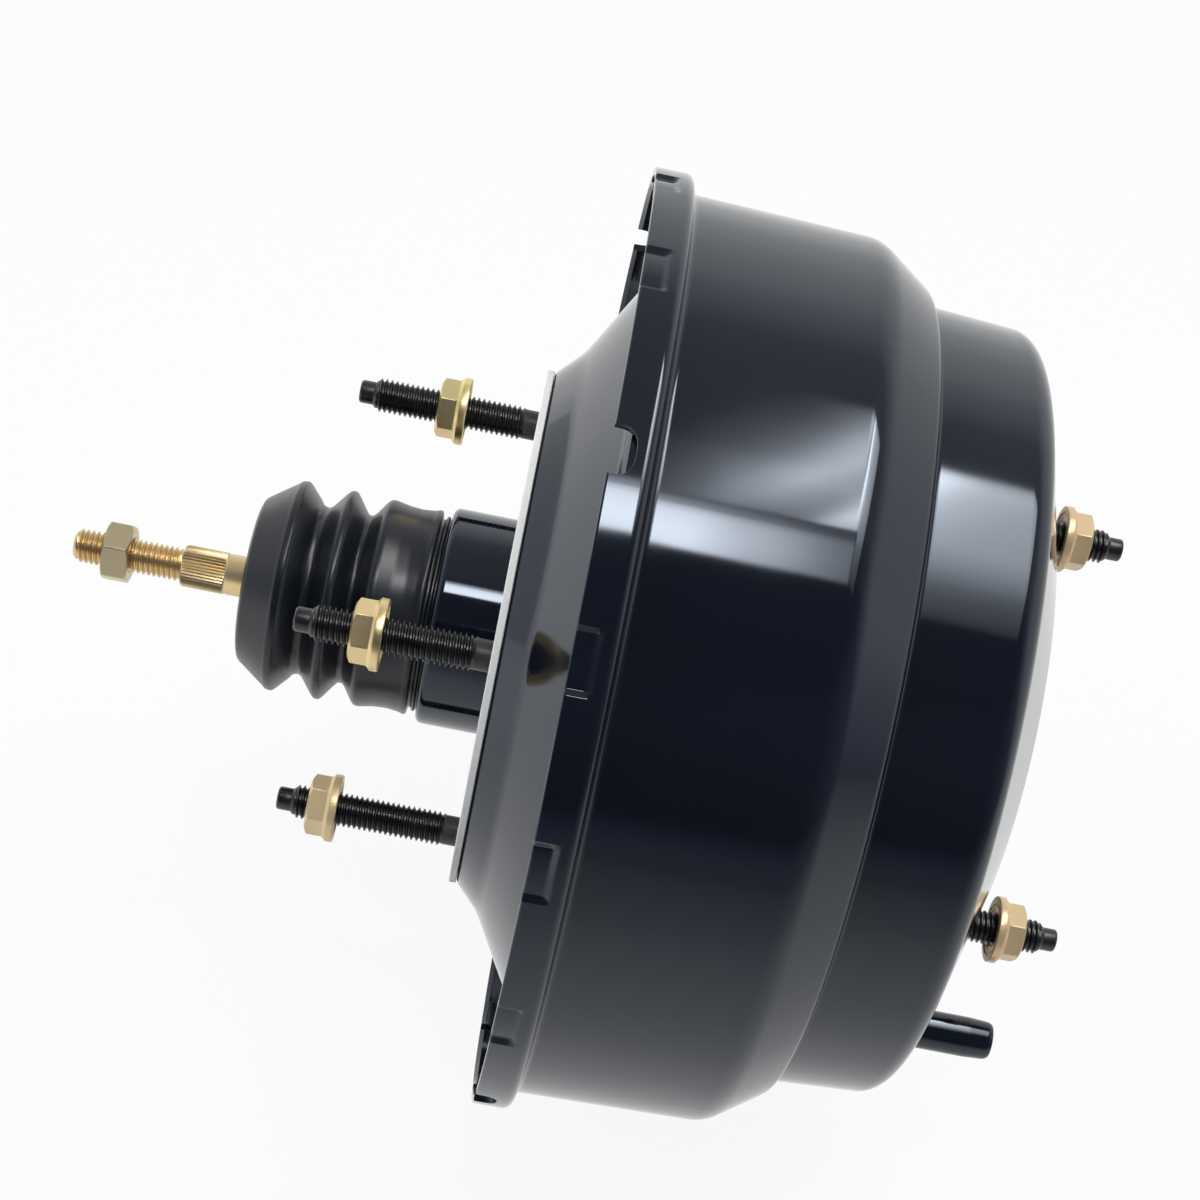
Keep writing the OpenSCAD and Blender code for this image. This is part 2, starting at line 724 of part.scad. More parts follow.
// rubber disc that shares the load between plunger and hub
module reaction_disc() {
  color("#1d1e20")
    ring(cup_x, cup_x + reaction_t, 0, disc_r);
}

// rod that pushes the master cylinder piston
module output_rod() {
  x = cup_x + reaction_t;
  color("#d0b070")
    turn([[x, 0], [x, disc_r - slide_gap], [x + 4, disc_r - slide_gap], [x + 4, out_rod_r],
      [out_rod_x - 1, out_rod_r], [out_rod_x, out_rod_r - 1], [out_rod_x, tip_thread_r],
      [out_rod_x - 13, tip_thread_r], [out_rod_x - 13, 0]]);
}

// clip that keeps the output rod in its cup
module output_rod_retainer() {
  color("#b9bcc0")
    ring(cup_x + reaction_t + 4, cup_x + reaction_t + 5, out_rod_r + bolt_gap, disc_r);
}

// screwed tip that sets the output rod's length
module output_rod_tip() {
  color("#d9dadc")
    turn(concat([[out_rod_x - 11, 0], [out_rod_x - 11, tip_thread_r], [out_rod_x, tip_thread_r],
      [out_rod_x, tip_r], [out_rod_x + 4, tip_r]],
      arc([out_rod_x + 4, 0], tip_r, 90, 0, 8)));
}

// pushrod with its ball, plain shank and threaded end
module operating_rod() {
  color("#b99a66")
    turn(concat(
      [[rod_tip_x, 0], [rod_tip_x, 2.6], [rod_tip_x + 1.2, stud_r], [rod_thread_x, stud_r],
       [rod_thread_x + 0.6, rod_r], [ball_x - 13, rod_r], [ball_x - 10.5, 3.2]],
      arc([ball_x, 0], ball_r, 180 - asin(3.2 / ball_r), 0, 20)));
}

// seat of the rod return spring, pressed on the rod
module rod_spring_seat() {
  color("#b9bcc0")
    ring(washer_x, washer_x + washer_t, rod_r, washer_r);
}

// lock nut on the pushrod thread
module rod_nut() {
  color("#cfc49a")
    difference() {
      intersection() {
        rotate([10, 0, 0])
          translate([rod_nut_x - rod_nut_h / 2, 0, 0])
            rotate([0, 90, 0])
              cylinder(r = rod_nut_af / sqrt(3), h = rod_nut_h, $fn = 6);
        turn([[rod_nut_x - rod_nut_h / 2, 0], [rod_nut_x - rod_nut_h / 2, rod_nut_af / 2 - 0.1],
          [rod_nut_x - rod_nut_h / 2 + 1.3, rod_nut_af / 2 + 1.6],
          [rod_nut_x + rod_nut_h / 2 - 1.3, rod_nut_af / 2 + 1.6],
          [rod_nut_x + rod_nut_h / 2, rod_nut_af / 2 - 0.1], [rod_nut_x + rod_nut_h / 2, 0]]);
      }
      rod(rod_nut_x - 20, rod_nut_x + 20, stud_r);
    }
}

// boot: folds between the neck and the valve body's tail, with an open nose
module boot() {
  neck_end = -neck_len;
  color("#1a1b1d")
    turn([
      [boot_x, 9.5], [boot_x, 17.6], [boot_x + 0.5, 19.2], [boot_x + 1.4, 20.1],
      [boot_x + 8, 24.4], [boot_x + 9.2, boot_r - 0.2], [boot_x + 10.2, boot_r],
      [boot_x + 11, boot_r - 0.6], [boot_x + 13.2, 22.4], [boot_x + 14.4, boot_groove_r + 0.4],
      [boot_x + 15.4, boot_groove_r], [boot_x + 16.3, boot_groove_r + 0.5],
      [boot_x + 19.2, boot_r - 0.9], [boot_x + 20.6, boot_r - 0.1], [boot_x + 22, boot_r - 0.9],
      [boot_x + 24.4, boot_groove_r + 0.5], [boot_x + 25.4, boot_groove_r],
      [boot_x + 26.4, boot_groove_r + 0.4], [boot_x + 28.6, 23.2], [boot_x + 30.2, 24.6],
      [boot_x + 41.4, 24.7], [neck_end - 2.2, 24.2], [neck_end - 1.6, 23.4], [neck_end - 0.4, 23.4],
      [neck_end, neck_in], [seal_x, neck_in], [seal_x, neck_in - boot_t],
      [neck_end - 2, 23.4 - boot_t], [boot_x + 41, 24.7 - boot_t],
      [boot_x + 30.8, 24.6 - boot_t], [boot_x + 29.4, 23 - boot_t],
      [boot_x + 27, boot_groove_r + 0.3 - boot_t], [boot_x + 24, boot_groove_r + 0.3 - boot_t],
      [boot_x + 21.6, 23.3], [boot_x + 19.6, 23.3], [boot_x + 17, boot_groove_r + 0.3 - boot_t],
      [boot_x + 14, boot_groove_r + 0.3 - boot_t], [boot_x + 11.4, 23], [boot_x + 9.4, 22.6],
      [boot_x + 6.2, tail_r], [tail_x, tail_r], [tail_x, 9.5]]);
}

front_shell();
rear_shell();
centre_plate();
rear_reinforcement();
front_reinforcement();
firewall_gasket();
firewall_studs();
firewall_nuts();
master_cylinder_studs();
master_cylinder_nuts();
vacuum_tube();
neck_seal();
neck_retainer();
centre_seal();
rear_diaphragm();
front_diaphragm();
boot();
main_return_spring();
rear_piston_plate();
front_piston_plate();
rear_hub_ring();
front_hub_ring();
valve_body();
poppet();
poppet_retainer();
poppet_spring();
rod_return_spring();
air_filter();
silencer();
stop_key();
reaction_disc();
output_rod();
output_rod_retainer();
output_rod_tip();
plunger();
operating_rod();
rod_spring_seat();
rod_nut();
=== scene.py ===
"""Vacuum brake booster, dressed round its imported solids.

Blender works in metres; every size below is written in millimetres and turned into metres where
a mesh is made. +X runs from the firewall side to the master cylinder side, +Z is up.
"""

import math

import bpy
import numpy as np
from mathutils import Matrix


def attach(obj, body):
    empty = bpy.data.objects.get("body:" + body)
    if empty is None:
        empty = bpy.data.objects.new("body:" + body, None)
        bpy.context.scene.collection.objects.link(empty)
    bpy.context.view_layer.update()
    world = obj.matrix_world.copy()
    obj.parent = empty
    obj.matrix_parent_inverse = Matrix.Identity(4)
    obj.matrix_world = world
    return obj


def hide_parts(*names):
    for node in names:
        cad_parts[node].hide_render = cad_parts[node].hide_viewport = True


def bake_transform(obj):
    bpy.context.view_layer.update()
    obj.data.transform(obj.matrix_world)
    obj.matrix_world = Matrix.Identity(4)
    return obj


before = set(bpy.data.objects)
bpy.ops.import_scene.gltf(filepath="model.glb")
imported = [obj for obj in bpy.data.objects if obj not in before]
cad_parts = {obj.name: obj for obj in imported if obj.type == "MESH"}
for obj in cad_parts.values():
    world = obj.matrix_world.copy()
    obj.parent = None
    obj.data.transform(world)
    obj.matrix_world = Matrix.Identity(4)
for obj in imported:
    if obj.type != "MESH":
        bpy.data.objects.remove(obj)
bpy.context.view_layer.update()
scene = bpy.context.scene
scene.view_settings.view_transform = "Standard"


# Camera. Its place comes from a fit of the booster's own outlines: it stands 0.54 m from the
# middle of the firewall studs, 44 degrees above the axis, and is rolled 11 degrees.
camera = bpy.data.objects.new("camera", bpy.data.cameras.new("camera"))
scene.collection.objects.link(camera)
camera.location = (0.002440, -0.387072, 0.378984)
camera.rotation_euler = [math.radians(a) for a in (41.49362, -9.47249, 6.35108)]
camera.data.sensor_width = 36.0
camera.data.lens = 67.60
camera.data.shift_x = 0.00553
camera.data.shift_y = 0.14926
camera.data.clip_end = 20.0
scene.camera = camera


# Rear shell: deep-drawn steel sheet, 1.8 mm thick, with a neck tube, a flat face for the
# firewall, a dished wall and a flat flange that the crimp grips. Stoved gloss black paint.
sheet_t = 1.8
neck_r, neck_end = 26.1, -15.7
face_x, face_r = 1.5, 60.6
rim_x, rim_r = 14.9, 111.8
rim_in = rim_r - sheet_t


def arc(x, r, radius, a0, a1, n=8):
    """n + 1 points (x + radius cos a, r + radius sin a), with a from a0 to a1 in degrees."""
    a = np.radians(np.linspace(a0, a1, n + 1))
    return np.c_[x + radius * np.cos(a), r + radius * np.sin(a)]


def joined(*parts):
    """One line of (x, radius) points from arcs and single points, put end to end."""
    return np.vstack([np.atleast_2d(np.asarray(p, float)) for p in parts])


def held(line, near=0.3):
    """The line with two more points on each long stretch, `near` from its ends, so that the
    smooth shading of a rounding doesn't run out over the flat beside it."""
    step = np.diff(line, axis=0)
    length = np.linalg.norm(step, axis=1)
    unit = step / length[:, None]
    extra = np.stack([line[:-1], line[:-1] + unit * near, line[1:] - unit * near], axis=1)
    keep = np.stack([length > 0, length > 4 * near, length > 4 * near], axis=1)
    return np.vstack([extra[keep], line[-1]])


def beside(line, t):
    """The line moved sideways by t along the half-way normal m of its two neighbours:
    p + m t / (m . n), which keeps straight stretches parallel."""
    d = np.diff(line, axis=0)
    d = d / np.linalg.norm(d, axis=1)[:, None]
    n = np.c_[-d[:, 1], d[:, 0]]
    n0, n1 = np.vstack([n[:1], n]), np.vstack([n, n[-1:]])
    m = n0 + n1
    m = m / np.linalg.norm(m, axis=1)[:, None]
    return line + m * (t / (m * n0).sum(axis=1))[:, None]


def wall(line, t):
    """Closed profile of a sheet: the line, and the same line moved sideways by t."""
    return np.vstack([line, beside(line, t)[::-1]])


def softened(line, size, steps=4, closed=True):
    """Each corner B becomes a curve (1-t)^2 A + 2t(1-t) B + t^2 C, where A and C lie `size`
    before and after it (at most 0.4 of the side), with one more point just outside each."""
    line = np.asarray(line, float)
    back, ahead = np.roll(line, 1, axis=0) - line, np.roll(line, -1, axis=0) - line
    lb, la = np.linalg.norm(back, axis=1), np.linalg.norm(ahead, axis=1)
    size = np.minimum(size, 0.4 * np.minimum(lb, la))
    a = back / lb[:, None] * size[:, None]
    c = ahead / la[:, None] * size[:, None]
    t = np.linspace(0, 1, steps + 1)
    curve = ((1 - t) ** 2)[None, :, None] * a[:, None] + (t**2)[None, :, None] * c[:, None]
    curve = np.concatenate([1.2 * a[:, None], curve, 1.2 * c[:, None]], axis=1)
    curve = curve + line[:, None]
    if not closed:
        curve[0], curve[-1] = line[0], line[-1]
    return curve.reshape(-1, 2)


def round_angles(n):
    """n + 1 equal angles round the axis, with the first one again at the end."""
    return np.linspace(0, 2 * np.pi, n + 1)


def turned(line, angles):
    """Surface (x, r cos a, r sin a) of a profile turned about the X axis."""
    x, r = np.asarray(line, float).T
    return np.stack([np.repeat(x[:, None], len(angles), axis=1),
                     np.outer(r, np.cos(angles)), np.outer(r, np.sin(angles))], axis=-1)


def piece(name, grids, closed=False, moved=(0, 0, 0)):
    """One mesh from grids of points in mm. Each cell of a grid is a face, points in the same
    place are one, and a skin with a negative volume sum(a . (b x c)) / 6 is turned round.
    closed joins the last row of the first grid to its first row."""
    points, quads, start = [], [], 0
    for k, grid in enumerate(grids):
        if closed and k == 0:
            grid = np.concatenate([grid, grid[:1]])
        u, v = grid.shape[:2]
        index = start + np.arange(u * v).reshape(u, v)
        quads.append(np.stack([index[:-1, :-1], index[1:, :-1], index[1:, 1:],
                               index[:-1, 1:]], axis=-1).reshape(-1, 4))
        points.append(grid.reshape(-1, 3))
        start += u * v
    points = np.concatenate(points)
    _, first, same = np.unique(np.round(points * 1e4).astype(np.int64), axis=0,
                               return_index=True, return_inverse=True)
    points, quads = points[first], same.reshape(-1)[np.concatenate(quads)]
    double = quads == np.roll(quads, -1, axis=1)
    flat = quads[double.sum(axis=1) == 1]
    hit = double[double.sum(axis=1) == 1].argmax(axis=1)
    three = (hit[:, None] + np.array([0, 2, 3])) % 4
    tris = np.take_along_axis(flat, three, axis=1)
    crossed = (quads[:, 0] == quads[:, 2]) | (quads[:, 1] == quads[:, 3])
    quads = quads[(double.sum(axis=1) == 0) & ~crossed]
    p = points
    volume = (p[quads[:, 0]] * np.cross(p[quads[:, 1]], p[quads[:, 2]])).sum() \
        + (p[quads[:, 0]] * np.cross(p[quads[:, 2]], p[quads[:, 3]])).sum() \
        + (p[tris[:, 0]] * np.cross(p[tris[:, 1]], p[tris[:, 2]])).sum()
    if volume < 0:
        quads, tris = quads[:, ::-1], tris[:, ::-1]
    mesh = bpy.data.meshes.new(name)
    mesh.from_pydata(((points + np.asarray(moved)) * 0.001).tolist(), [],
                     quads.tolist() + tris.tolist())
    mesh.polygons.foreach_set("use_smooth", np.ones(len(mesh.polygons), dtype=bool))
    mesh.set_sharp_from_angle(angle=math.radians(50))
    made = bpy.data.objects.new(name, mesh)
    scene.collection.objects.link(made)
    return made


def linear(code):
    """The linear colour of an sRGB hex code."""
    s = np.array([int(code[i:i + 2], 16) for i in (1, 3, 5)]) / 255
    return (*np.where(s > 0.04045, ((s + 0.055) / 1.055) ** 2.4, s / 12.92), 1.0)


def add(material, kind, inputs=None, **settings):
    """One node in the material: settings are its own, and each input takes a value or a link."""
    made = material.node_tree.nodes.new(kind)
    for key, value in settings.items():
        setattr(made, key, value)
    for key, value in (inputs or {}).items():
        if isinstance(value, bpy.types.NodeSocket):
            material.node_tree.links.new(value, made.inputs[key])
        else:
            made.inputs[key].default_value = value
    return made


def finish_named(name):
    """A material with its shader, and the object's own coordinates in metres."""
    material = bpy.data.materials.new(name)
    material.use_nodes = True
    shader = material.node_tree.nodes["Principled BSDF"]
    return material, shader, add(material, "ShaderNodeTexCoord").outputs["Object"]


def feed(material, shader, **inputs):
    """Sets or links the shader's own inputs, with _ for a blank."""
    for key, value in inputs.items():
        socket = shader.inputs[key.replace("_", " ")]
        if isinstance(value, bpy.types.NodeSocket):
            material.node_tree.links.new(value, socket)
        else:
            socket.default_value = value


def mixed(material, factor, low, high):
    """The colour between two hex codes that lies at the factor."""
    made = add(material, "ShaderNodeMix", {0: factor, 6: linear(low), 7: linear(high)},
               data_type="RGBA")
    return made.outputs[2]


# Stoved black paint: a hard, wet-looking film over bluish black. It is nearly a mirror with a
# cool cast, and a long, shallow waviness of the sheet (about 25 mm) bends its reflections.
black_paint, shader, place = finish_named("stoved_gloss_black_paint")
waviness = add(black_paint, "ShaderNodeTexNoise", {"Vector": place, "Scale": 38.0, "Detail": 1.0})
tone = add(black_paint, "ShaderNodeTexNoise", {"Vector": place, "Scale": 22.0, "Detail": 3.0})
rough = add(black_paint, "ShaderNodeMapRange",
            {0: tone.outputs[0], 1: 0.35, 2: 0.65, 3: 0.05, 4: 0.09})
grain = add(black_paint, "ShaderNodeBump",
            {"Height": waviness.outputs[0], "Strength": 0.12, "Distance": 0.0006})
feed(black_paint, shader, Base_Color=mixed(black_paint, tone.outputs[0], "#0b0e17", "#0f131c"),
     Roughness=rough.outputs[0], IOR=1.6, Specular_Tint=linear("#e4effe"),
     Normal=grain.outputs[0])

rear_line = held(joined(
    arc(neck_end + 1.7, neck_r - 1.7, 1.7, 180, 90, 6),
    arc(face_x - 1.2, neck_r + 1.2, 1.2, 270, 360),
    arc(face_x + 2.4, face_r, 2.4, 180, 135), arc(-2.06, 75.01, 12, -45, -30.4, 6),
    arc(12.4, 87.8, 6, -31, 0), [(18.4, 109.4), (18.6, 109.7)]))
# The inner wall follows the outer line from its ninth point, at the front end of the neck tube,
# and is straight from there to the neck's mouth.
tube_front = 8
rear_inner = beside(rear_line[tube_front:-1], -sheet_t)
rear_skin = joined(rear_line, (20.0, 109.7), rear_inner[::-1], [(neck_end + 0.3, 24.3),
                                                                (neck_end, 24.4)])
rear_shell = piece("rear_shell_pressing", [turned(rear_skin, round_angles(288))], closed=True)
rear_shell.data.materials.append(black_paint)
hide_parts("rear_shell")
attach(rear_shell, "housing")


# Firewall studs: four cold-headed steel studs, riveted through the shell and its backing
# plate, with rolled M8 x 1.25 threads, a plain shank and a dog point. Black phosphate and oil.
thread_r, pitch, shank_r, collar_r = 4.0, 1.25, 3.55, 4.4
head_r, head_t, dog_r, dog_len, dog_round = 7.0, 2.5, 2.75, 3.5, 0.7
firewall_at = [(40.0, 30.0), (-40.0, 30.0), (-40.0, -30.0), (40.0, -30.0)]


def thread_radius(x, a, x0, x1, crest, root, neck):
    """Radius of a rolled thread at (x, a). The phase is x / pitch - a / 2 pi; from one root to
    the next the radius climbs a flank to the crest and goes down again. Over one pitch at each
    end it fades to the neck radius."""
    w = 1 - 2 * np.abs((x / pitch - a / (2 * np.pi)) % 1 - 0.5)
    r = root + (crest - root) * np.clip((w - 0.25) / 0.62, 0, 1)
    fade = np.clip(np.minimum(x - x0, x1 - x) / pitch, 0, 1)
    return neck + (r - neck) * fade


def thread(x0, x1, angles, crest=thread_r, root=3.28, neck=shank_r, point=None):
    """Rows of a thread that follow its own roots and crests: at each angle a the rows stand at
    pitch (k + v + a / 2 pi), for v at the ends of root, flanks and crest, cut off at x0 and x1.
    point = (x, r) adds a 45 degree chamfer that ends there."""
    v = np.array([0.0, 0.125, 0.435, 0.565, 0.875])
    turns = np.arange(math.floor(x0 / pitch) - 2, math.ceil(x1 / pitch) + 1)
    rows = (turns[:, None] + v[None, :]).reshape(-1)
    x = np.clip(pitch * (rows[:, None] + angles[None, :] / (2 * np.pi)), x0, x1)
    a = np.repeat(angles[None, :], len(rows), axis=0)
    r = thread_radius(x, a, x0, x1, crest, root, neck)
    if point is not None:
        r = np.minimum(r, point[1] + np.abs(x - point[0]))
    return np.stack([x, r * np.cos(a), r * np.sin(a)], axis=-1)


def at(grid, x, y=0.0, z=0.0, flip=False):
    """The grid moved to (x, y, z); flip turns it half round Z first, so that it runs to -X."""
    turn = np.array([-1, -1, 1]) if flip else np.array([1, 1, 1])
    return grid * turn + np.array([x, y, z])


def stud_grids(collar_len, shank_len, length):
    """A stud along +X from the face of its head: head, collar, shank, thread and dog point."""
    angles = round_angles(40)
    lower = joined([(-head_t, 0.0), (-head_t, head_r - 0.4)],
                   arc(0.6 - head_t, head_r - 0.6, 0.6, 180, 90, 3),
                   [(-0.3, head_r), (0.0, head_r - 0.3), (0.0, collar_r), (collar_len, collar_r),
                    (collar_len, shank_r), (collar_len + shank_len, shank_r)])
    end, tip = length - dog_len, length - dog_round
    upper = joined([(end, dog_r), (end + 0.2, dog_r), (tip, dog_r)],
                   arc(tip, dog_r - dog_round, dog_round, 90, 0, 4), (length, 0.0))
    body = thread(collar_len + shank_len, end, angles, point=(end, dog_r))
    last = turned([(end, dog_r)], angles)
    return [turned(lower, angles), body, np.concatenate([body[-1:], last]), turned(upper, angles)]


# Phosphated and oiled steel: fine dark crystals that scatter, with an oily sheen over them.
black_steel, shader, place = finish_named("phosphated_oiled_steel")
crystal = add(black_steel, "ShaderNodeTexNoise", {"Vector": place, "Scale": 3200.0})
film = add(black_steel, "ShaderNodeTexNoise", {"Vector": place, "Scale": 240.0, "Detail": 4.0})
rough = add(black_steel, "ShaderNodeMapRange",
            {0: film.outputs[0], 1: 0.3, 2: 0.7, 3: 0.24, 4: 0.42})
grain = add(black_steel, "ShaderNodeBump",
            {"Height": crystal.outputs[0], "Strength": 0.15, "Distance": 0.0002})
feed(black_steel, shader, Base_Color=mixed(black_steel, film.outputs[0], "#0b0b0d", "#19191c"),
     Roughness=rough.outputs[0], IOR=1.6, Normal=grain.outputs[0])

plate_t, stud_out = 2.5, 43.7
stud_head_x = face_x + sheet_t + plate_t
grids = []
for y, z in firewall_at:
    grids += [at(g, stud_head_x, y, z, flip=True)
              for g in stud_grids(stud_head_x - face_x, 5.0, stud_out + stud_head_x)]
firewall_studs = piece("firewall_stud_set", grids)
firewall_studs.data.materials.append(black_steel)
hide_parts("firewall_studs")
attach(firewall_studs, "housing")


# Firewall gasket: a punched ring of white fibre board, slipped over the studs. Its outer edge
# has curled back a little from the shell.
# Fibre board: matt, chalky, with short flattened fibres.
gasket_board, shader, place = finish_named("white_fibre_board")
fibre = add(gasket_board, "ShaderNodeTexNoise",
            {"Vector": place, "Scale": 900.0, "Detail": 5.0, "Distortion": 1.5})
stain = add(gasket_board, "ShaderNodeTexNoise", {"Vector": place, "Scale": 60.0})
grain = add(gasket_board, "ShaderNodeBump",
            {"Height": fibre.outputs[0], "Strength": 0.4, "Distance": 0.0002})
feed(gasket_board, shader, Base_Color=mixed(gasket_board, stain.outputs[0], "#f1f1ee", "#fbfbfa"),
     Roughness=0.85, Normal=grain.outputs[0])

gasket_line = softened([(0.0, 27.6), (1.5, 27.6), (1.5, 40.0), (1.5, 58.0), (1.4, 61.9),
                        (-0.3, 61.9), (0.0, 58.0), (0.0, 40.0)], 0.25)
gasket = piece("firewall_gasket_ring", [turned(gasket_line, round_angles(192))], closed=True)
gasket.data.materials.append(gasket_board)
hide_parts("firewall_gasket")
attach(gasket, "housing")


# Front shell: a deep-drawn stepped can. Its open end is the rim that is pressed over the rear
# shell: twelve pressed pockets grip the flange, and four round notches show its edge.
step_x, can_x, can_r, can_end_x, can_end_r = 24.0, 25.6, 107.5, 65.2, 106.4
cone_a, shoulder_x, small_r = 34.7, 81.5, 93.9
front_a, seat_x, seat_r, pilot_r = 18.7, 119.0, 57.1, 16.0
corner_r, corner_c = 5.6, 87.1
slope = math.tan(math.radians(front_a))
corner_end_r = corner_c + corner_r * math.sin(math.radians(front_a))
corner_x = seat_x - (corner_end_r - seat_r) * slope - corner_r * math.cos(math.radians(front_a))
up = math.radians(90 - cone_a)
foot_r = can_end_r - 10 + 7 * math.sin(up) \
    - (shoulder_x - 3 - can_end_x - 7 * math.cos(up)) * math.tan(math.radians(cone_a))
band_end = step_x - 2.2


def front_line(fine):
    """Outside of the can from the rim's edge to the pilot hole, with the steps of its
    roundings multiplied by fine."""
    def bend(x, r, radius, a0, a1, n):
        return arc(x, r, radius, a0, a1, max(2, round(n * fine)))

    return held(joined(
        (rim_x, rim_r - 0.35), (rim_x + 0.12, rim_r - 0.1), (rim_x + 0.4, rim_r),
        np.c_[np.linspace(rim_x + 0.7, band_end - 0.4, 12), np.full(12, rim_r)],
        bend(band_end, rim_r - 2.2, 2.2, 90, 0, 7), bend(can_x, can_r + 1.6, 1.6, 180, 270, 6),
        bend(can_end_x, can_end_r - 10, 10, 90, 90 - cone_a, 9),
        bend(shoulder_x - 3, foot_r, 3, 90 - cone_a, 0, 6),
        bend(shoulder_x + 1.1, small_r + 1.1, 1.1, 180, 270, 5),
        bend(corner_x, corner_c, corner_r, 90, front_a, 10),
        bend(seat_x - 3, seat_r - 3 * math.tan(math.radians(front_a / 2)), 3, front_a, 0, 3),
        bend(seat_x - 2.3, pilot_r + 2.3, 2.3, 0, -90, 6), (seat_x - 8, pilot_r)))


outer_line = front_line(1)
inner_line = beside(front_line(0.4)[3:], -sheet_t)
inner_line = joined((rim_x, rim_in + 0.1), (rim_x + 0.2, rim_in), inner_line[1:])

# Angles, from +Y towards +Z. The sixteen places round the rim are 22.5 degrees apart, but each
# fourth one, a notch, stands 0.85 degrees on, and the pocket on top 0.7 degrees back. Columns
# crowd round each place, so that its edges come out clean.
notch_half, notch_deep, pocket_half, pocket_floor, pocket_deep = 5.3, 5.0, 7.0, 5.6, 0.9
order = np.arange(16)
places = np.radians(2.265 + 22.5 * order + 0.85 * (order % 4 == 1) - 0.7 * (order == 4))
notch_places = places[1::4]
half = 0.5 * np.radians(22.5) * rim_r
bow = np.cos(np.linspace(np.pi, 0, 15))
bow = notch_half * np.sign(bow) * np.abs(bow) ** 0.667
frame_edge = np.array([5.36, 5.45, pocket_floor, 5.75, 6.3, 6.85, pocket_half, 7.15])
near = np.unique(np.round(np.r_[-frame_edge, bow, frame_edge, -half, -15.0, -9.5, 9.5, 15.0], 3))
columns = (places[:, None] + near[None, :] / rim_r).reshape(-1)
columns = np.r_[columns, columns[0] + 2 * np.pi]


def crimped(line, inside):
    """The rim's rows over the columns. s is the distance along the rim from the nearest place.
    At a notch the edge moves in by 5 (1 - (s / 5.3)^3)^(1/3), shrinking to nothing at the
    band's end. At a pocket the radius sinks over a straight bevel 1.4 wide to a floor 0.9
    deep, which is crowned by 0.25 (1 - (s / 5.6)^2)."""
    grid = turned(line, columns)
    x = np.repeat(line[:, :1], len(columns), axis=1)
    r = np.repeat(line[:, 1:], len(columns), axis=1)
    turn = columns[:, None] - notch_places[None, :]
    to_notch = np.abs((turn + np.pi) % (2 * np.pi) - np.pi).min(axis=1) * rim_r
    turn = columns[:, None] - places[None, :]
    s = np.abs((turn + np.pi) % (2 * np.pi) - np.pi).min(axis=1) * rim_r
    cut = notch_deep * np.clip(1 - (to_notch / notch_half) ** 3, 0, 1) ** (1 / 3)
    on_band = (line[:, 0] < band_end) & (line[:, 1] > rim_in - 0.5)
    x = x + np.where(on_band[:, None], cut[None, :] * (band_end - x) / (band_end - rim_x), 0.0)
    reach = 18.2 if inside else 20.4
    bevel = np.clip((pocket_half - s) / 1.4, 0, 1)[None, :] * np.clip((reach - x) / 1.4, 0, 1)
    sunk = bevel * (pocket_deep - 0.25 * np.clip(1 - (s / pocket_floor) ** 2, 0, 1)[None, :]) \
        * np.where(to_notch > 12, 1.0, 0.0)[None, :]
    r = r - sunk * np.where(on_band[:, None], 1.0, 0.0)
    grid[..., 0], a = x, columns[None, :]
    grid[..., 1], grid[..., 2] = r * np.cos(a), r * np.sin(a)
    return grid


skin = np.concatenate([crimped(outer_line, False), crimped(inner_line, True)[::-1]])
front_shell = piece("front_shell_pressing", [skin], closed=True)
front_shell.data.materials.append(black_paint)
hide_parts("front_shell")
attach(front_shell, "housing")


# Master cylinder studs: two shorter studs like those at the firewall, on a slant through the
# axis. Their heads lie behind the plate inside the front face, 4.8 mm behind the seat.
circle_r, slant, master_deep, master_out = 48.5, math.atan2(60, 80), 4.8, 26.5
master_at = [(circle_r * math.cos(a), circle_r * math.sin(a)) for a in (slant, slant + math.pi)]
grids = []
for y, z in master_at:
    grids += [at(g, seat_x - master_deep, y, z)
              for g in stud_grids(master_deep, 4.0, master_out + master_deep)]
master_studs = piece("master_cylinder_stud_set", grids)
master_studs.data.materials.append(black_steel)
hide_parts("master_cylinder_studs")
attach(master_studs, "housing")


# Vacuum tube: drawn steel tube, brazed into the sloping front face and painted with the can.
# Its end is swaged in a little so that the hose starts easily.
tube_a, tube_off = math.radians(224.8), 75.7
tube_line = softened([(108.5, 3.3), (136.4, 3.3), (136.4, 4.15), (135.4, 4.6), (130.4, 4.9),
                      (117.3, 4.9), (117.2, 5.2), (108.5, 5.2)], 0.35)
tube = piece("vacuum_hose_tube", [turned(tube_line, round_angles(72))], closed=True,
             moved=(0, tube_off * math.cos(tube_a), tube_off * math.sin(tube_a)))
tube.data.materials.append(black_paint)
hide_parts("vacuum_tube")
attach(tube, "housing")


# Pressed steel inside the cans: backing plates, the wall between the chambers, the two discs,
# rings and retainers. Cut and pressed sheet with bright zinc plate. The solids stay.
# Bright zinc plate: bluish grey, patchy over about 4 mm, with a fine grain.
zinc_sheet, shader, place = finish_named("bright_zinc_plated_sheet")
spangle = add(zinc_sheet, "ShaderNodeTexVoronoi", {"Vector": place, "Scale": 240.0})
fine = add(zinc_sheet, "ShaderNodeTexNoise", {"Vector": place, "Scale": 1500.0})
rough = add(zinc_sheet, "ShaderNodeMapRange", {0: spangle.outputs["Color"], 3: 0.24, 4: 0.36})
grain = add(zinc_sheet, "ShaderNodeBump",
            {"Height": fine.outputs[0], "Strength": 0.1, "Distance": 0.0001})
feed(zinc_sheet, shader, Base_Color=mixed(zinc_sheet, spangle.outputs["Distance"],
                                          "#b4b8bc", "#c6c9cc"),
     Metallic=1.0, Roughness=rough.outputs[0], Normal=grain.outputs[0])


def refinish(material, *nodes):
    """Gives the CAD solids of these nodes the material in place of their plain one."""
    for node in nodes:
        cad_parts[node].data.materials.clear()
        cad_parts[node].data.materials.append(material)


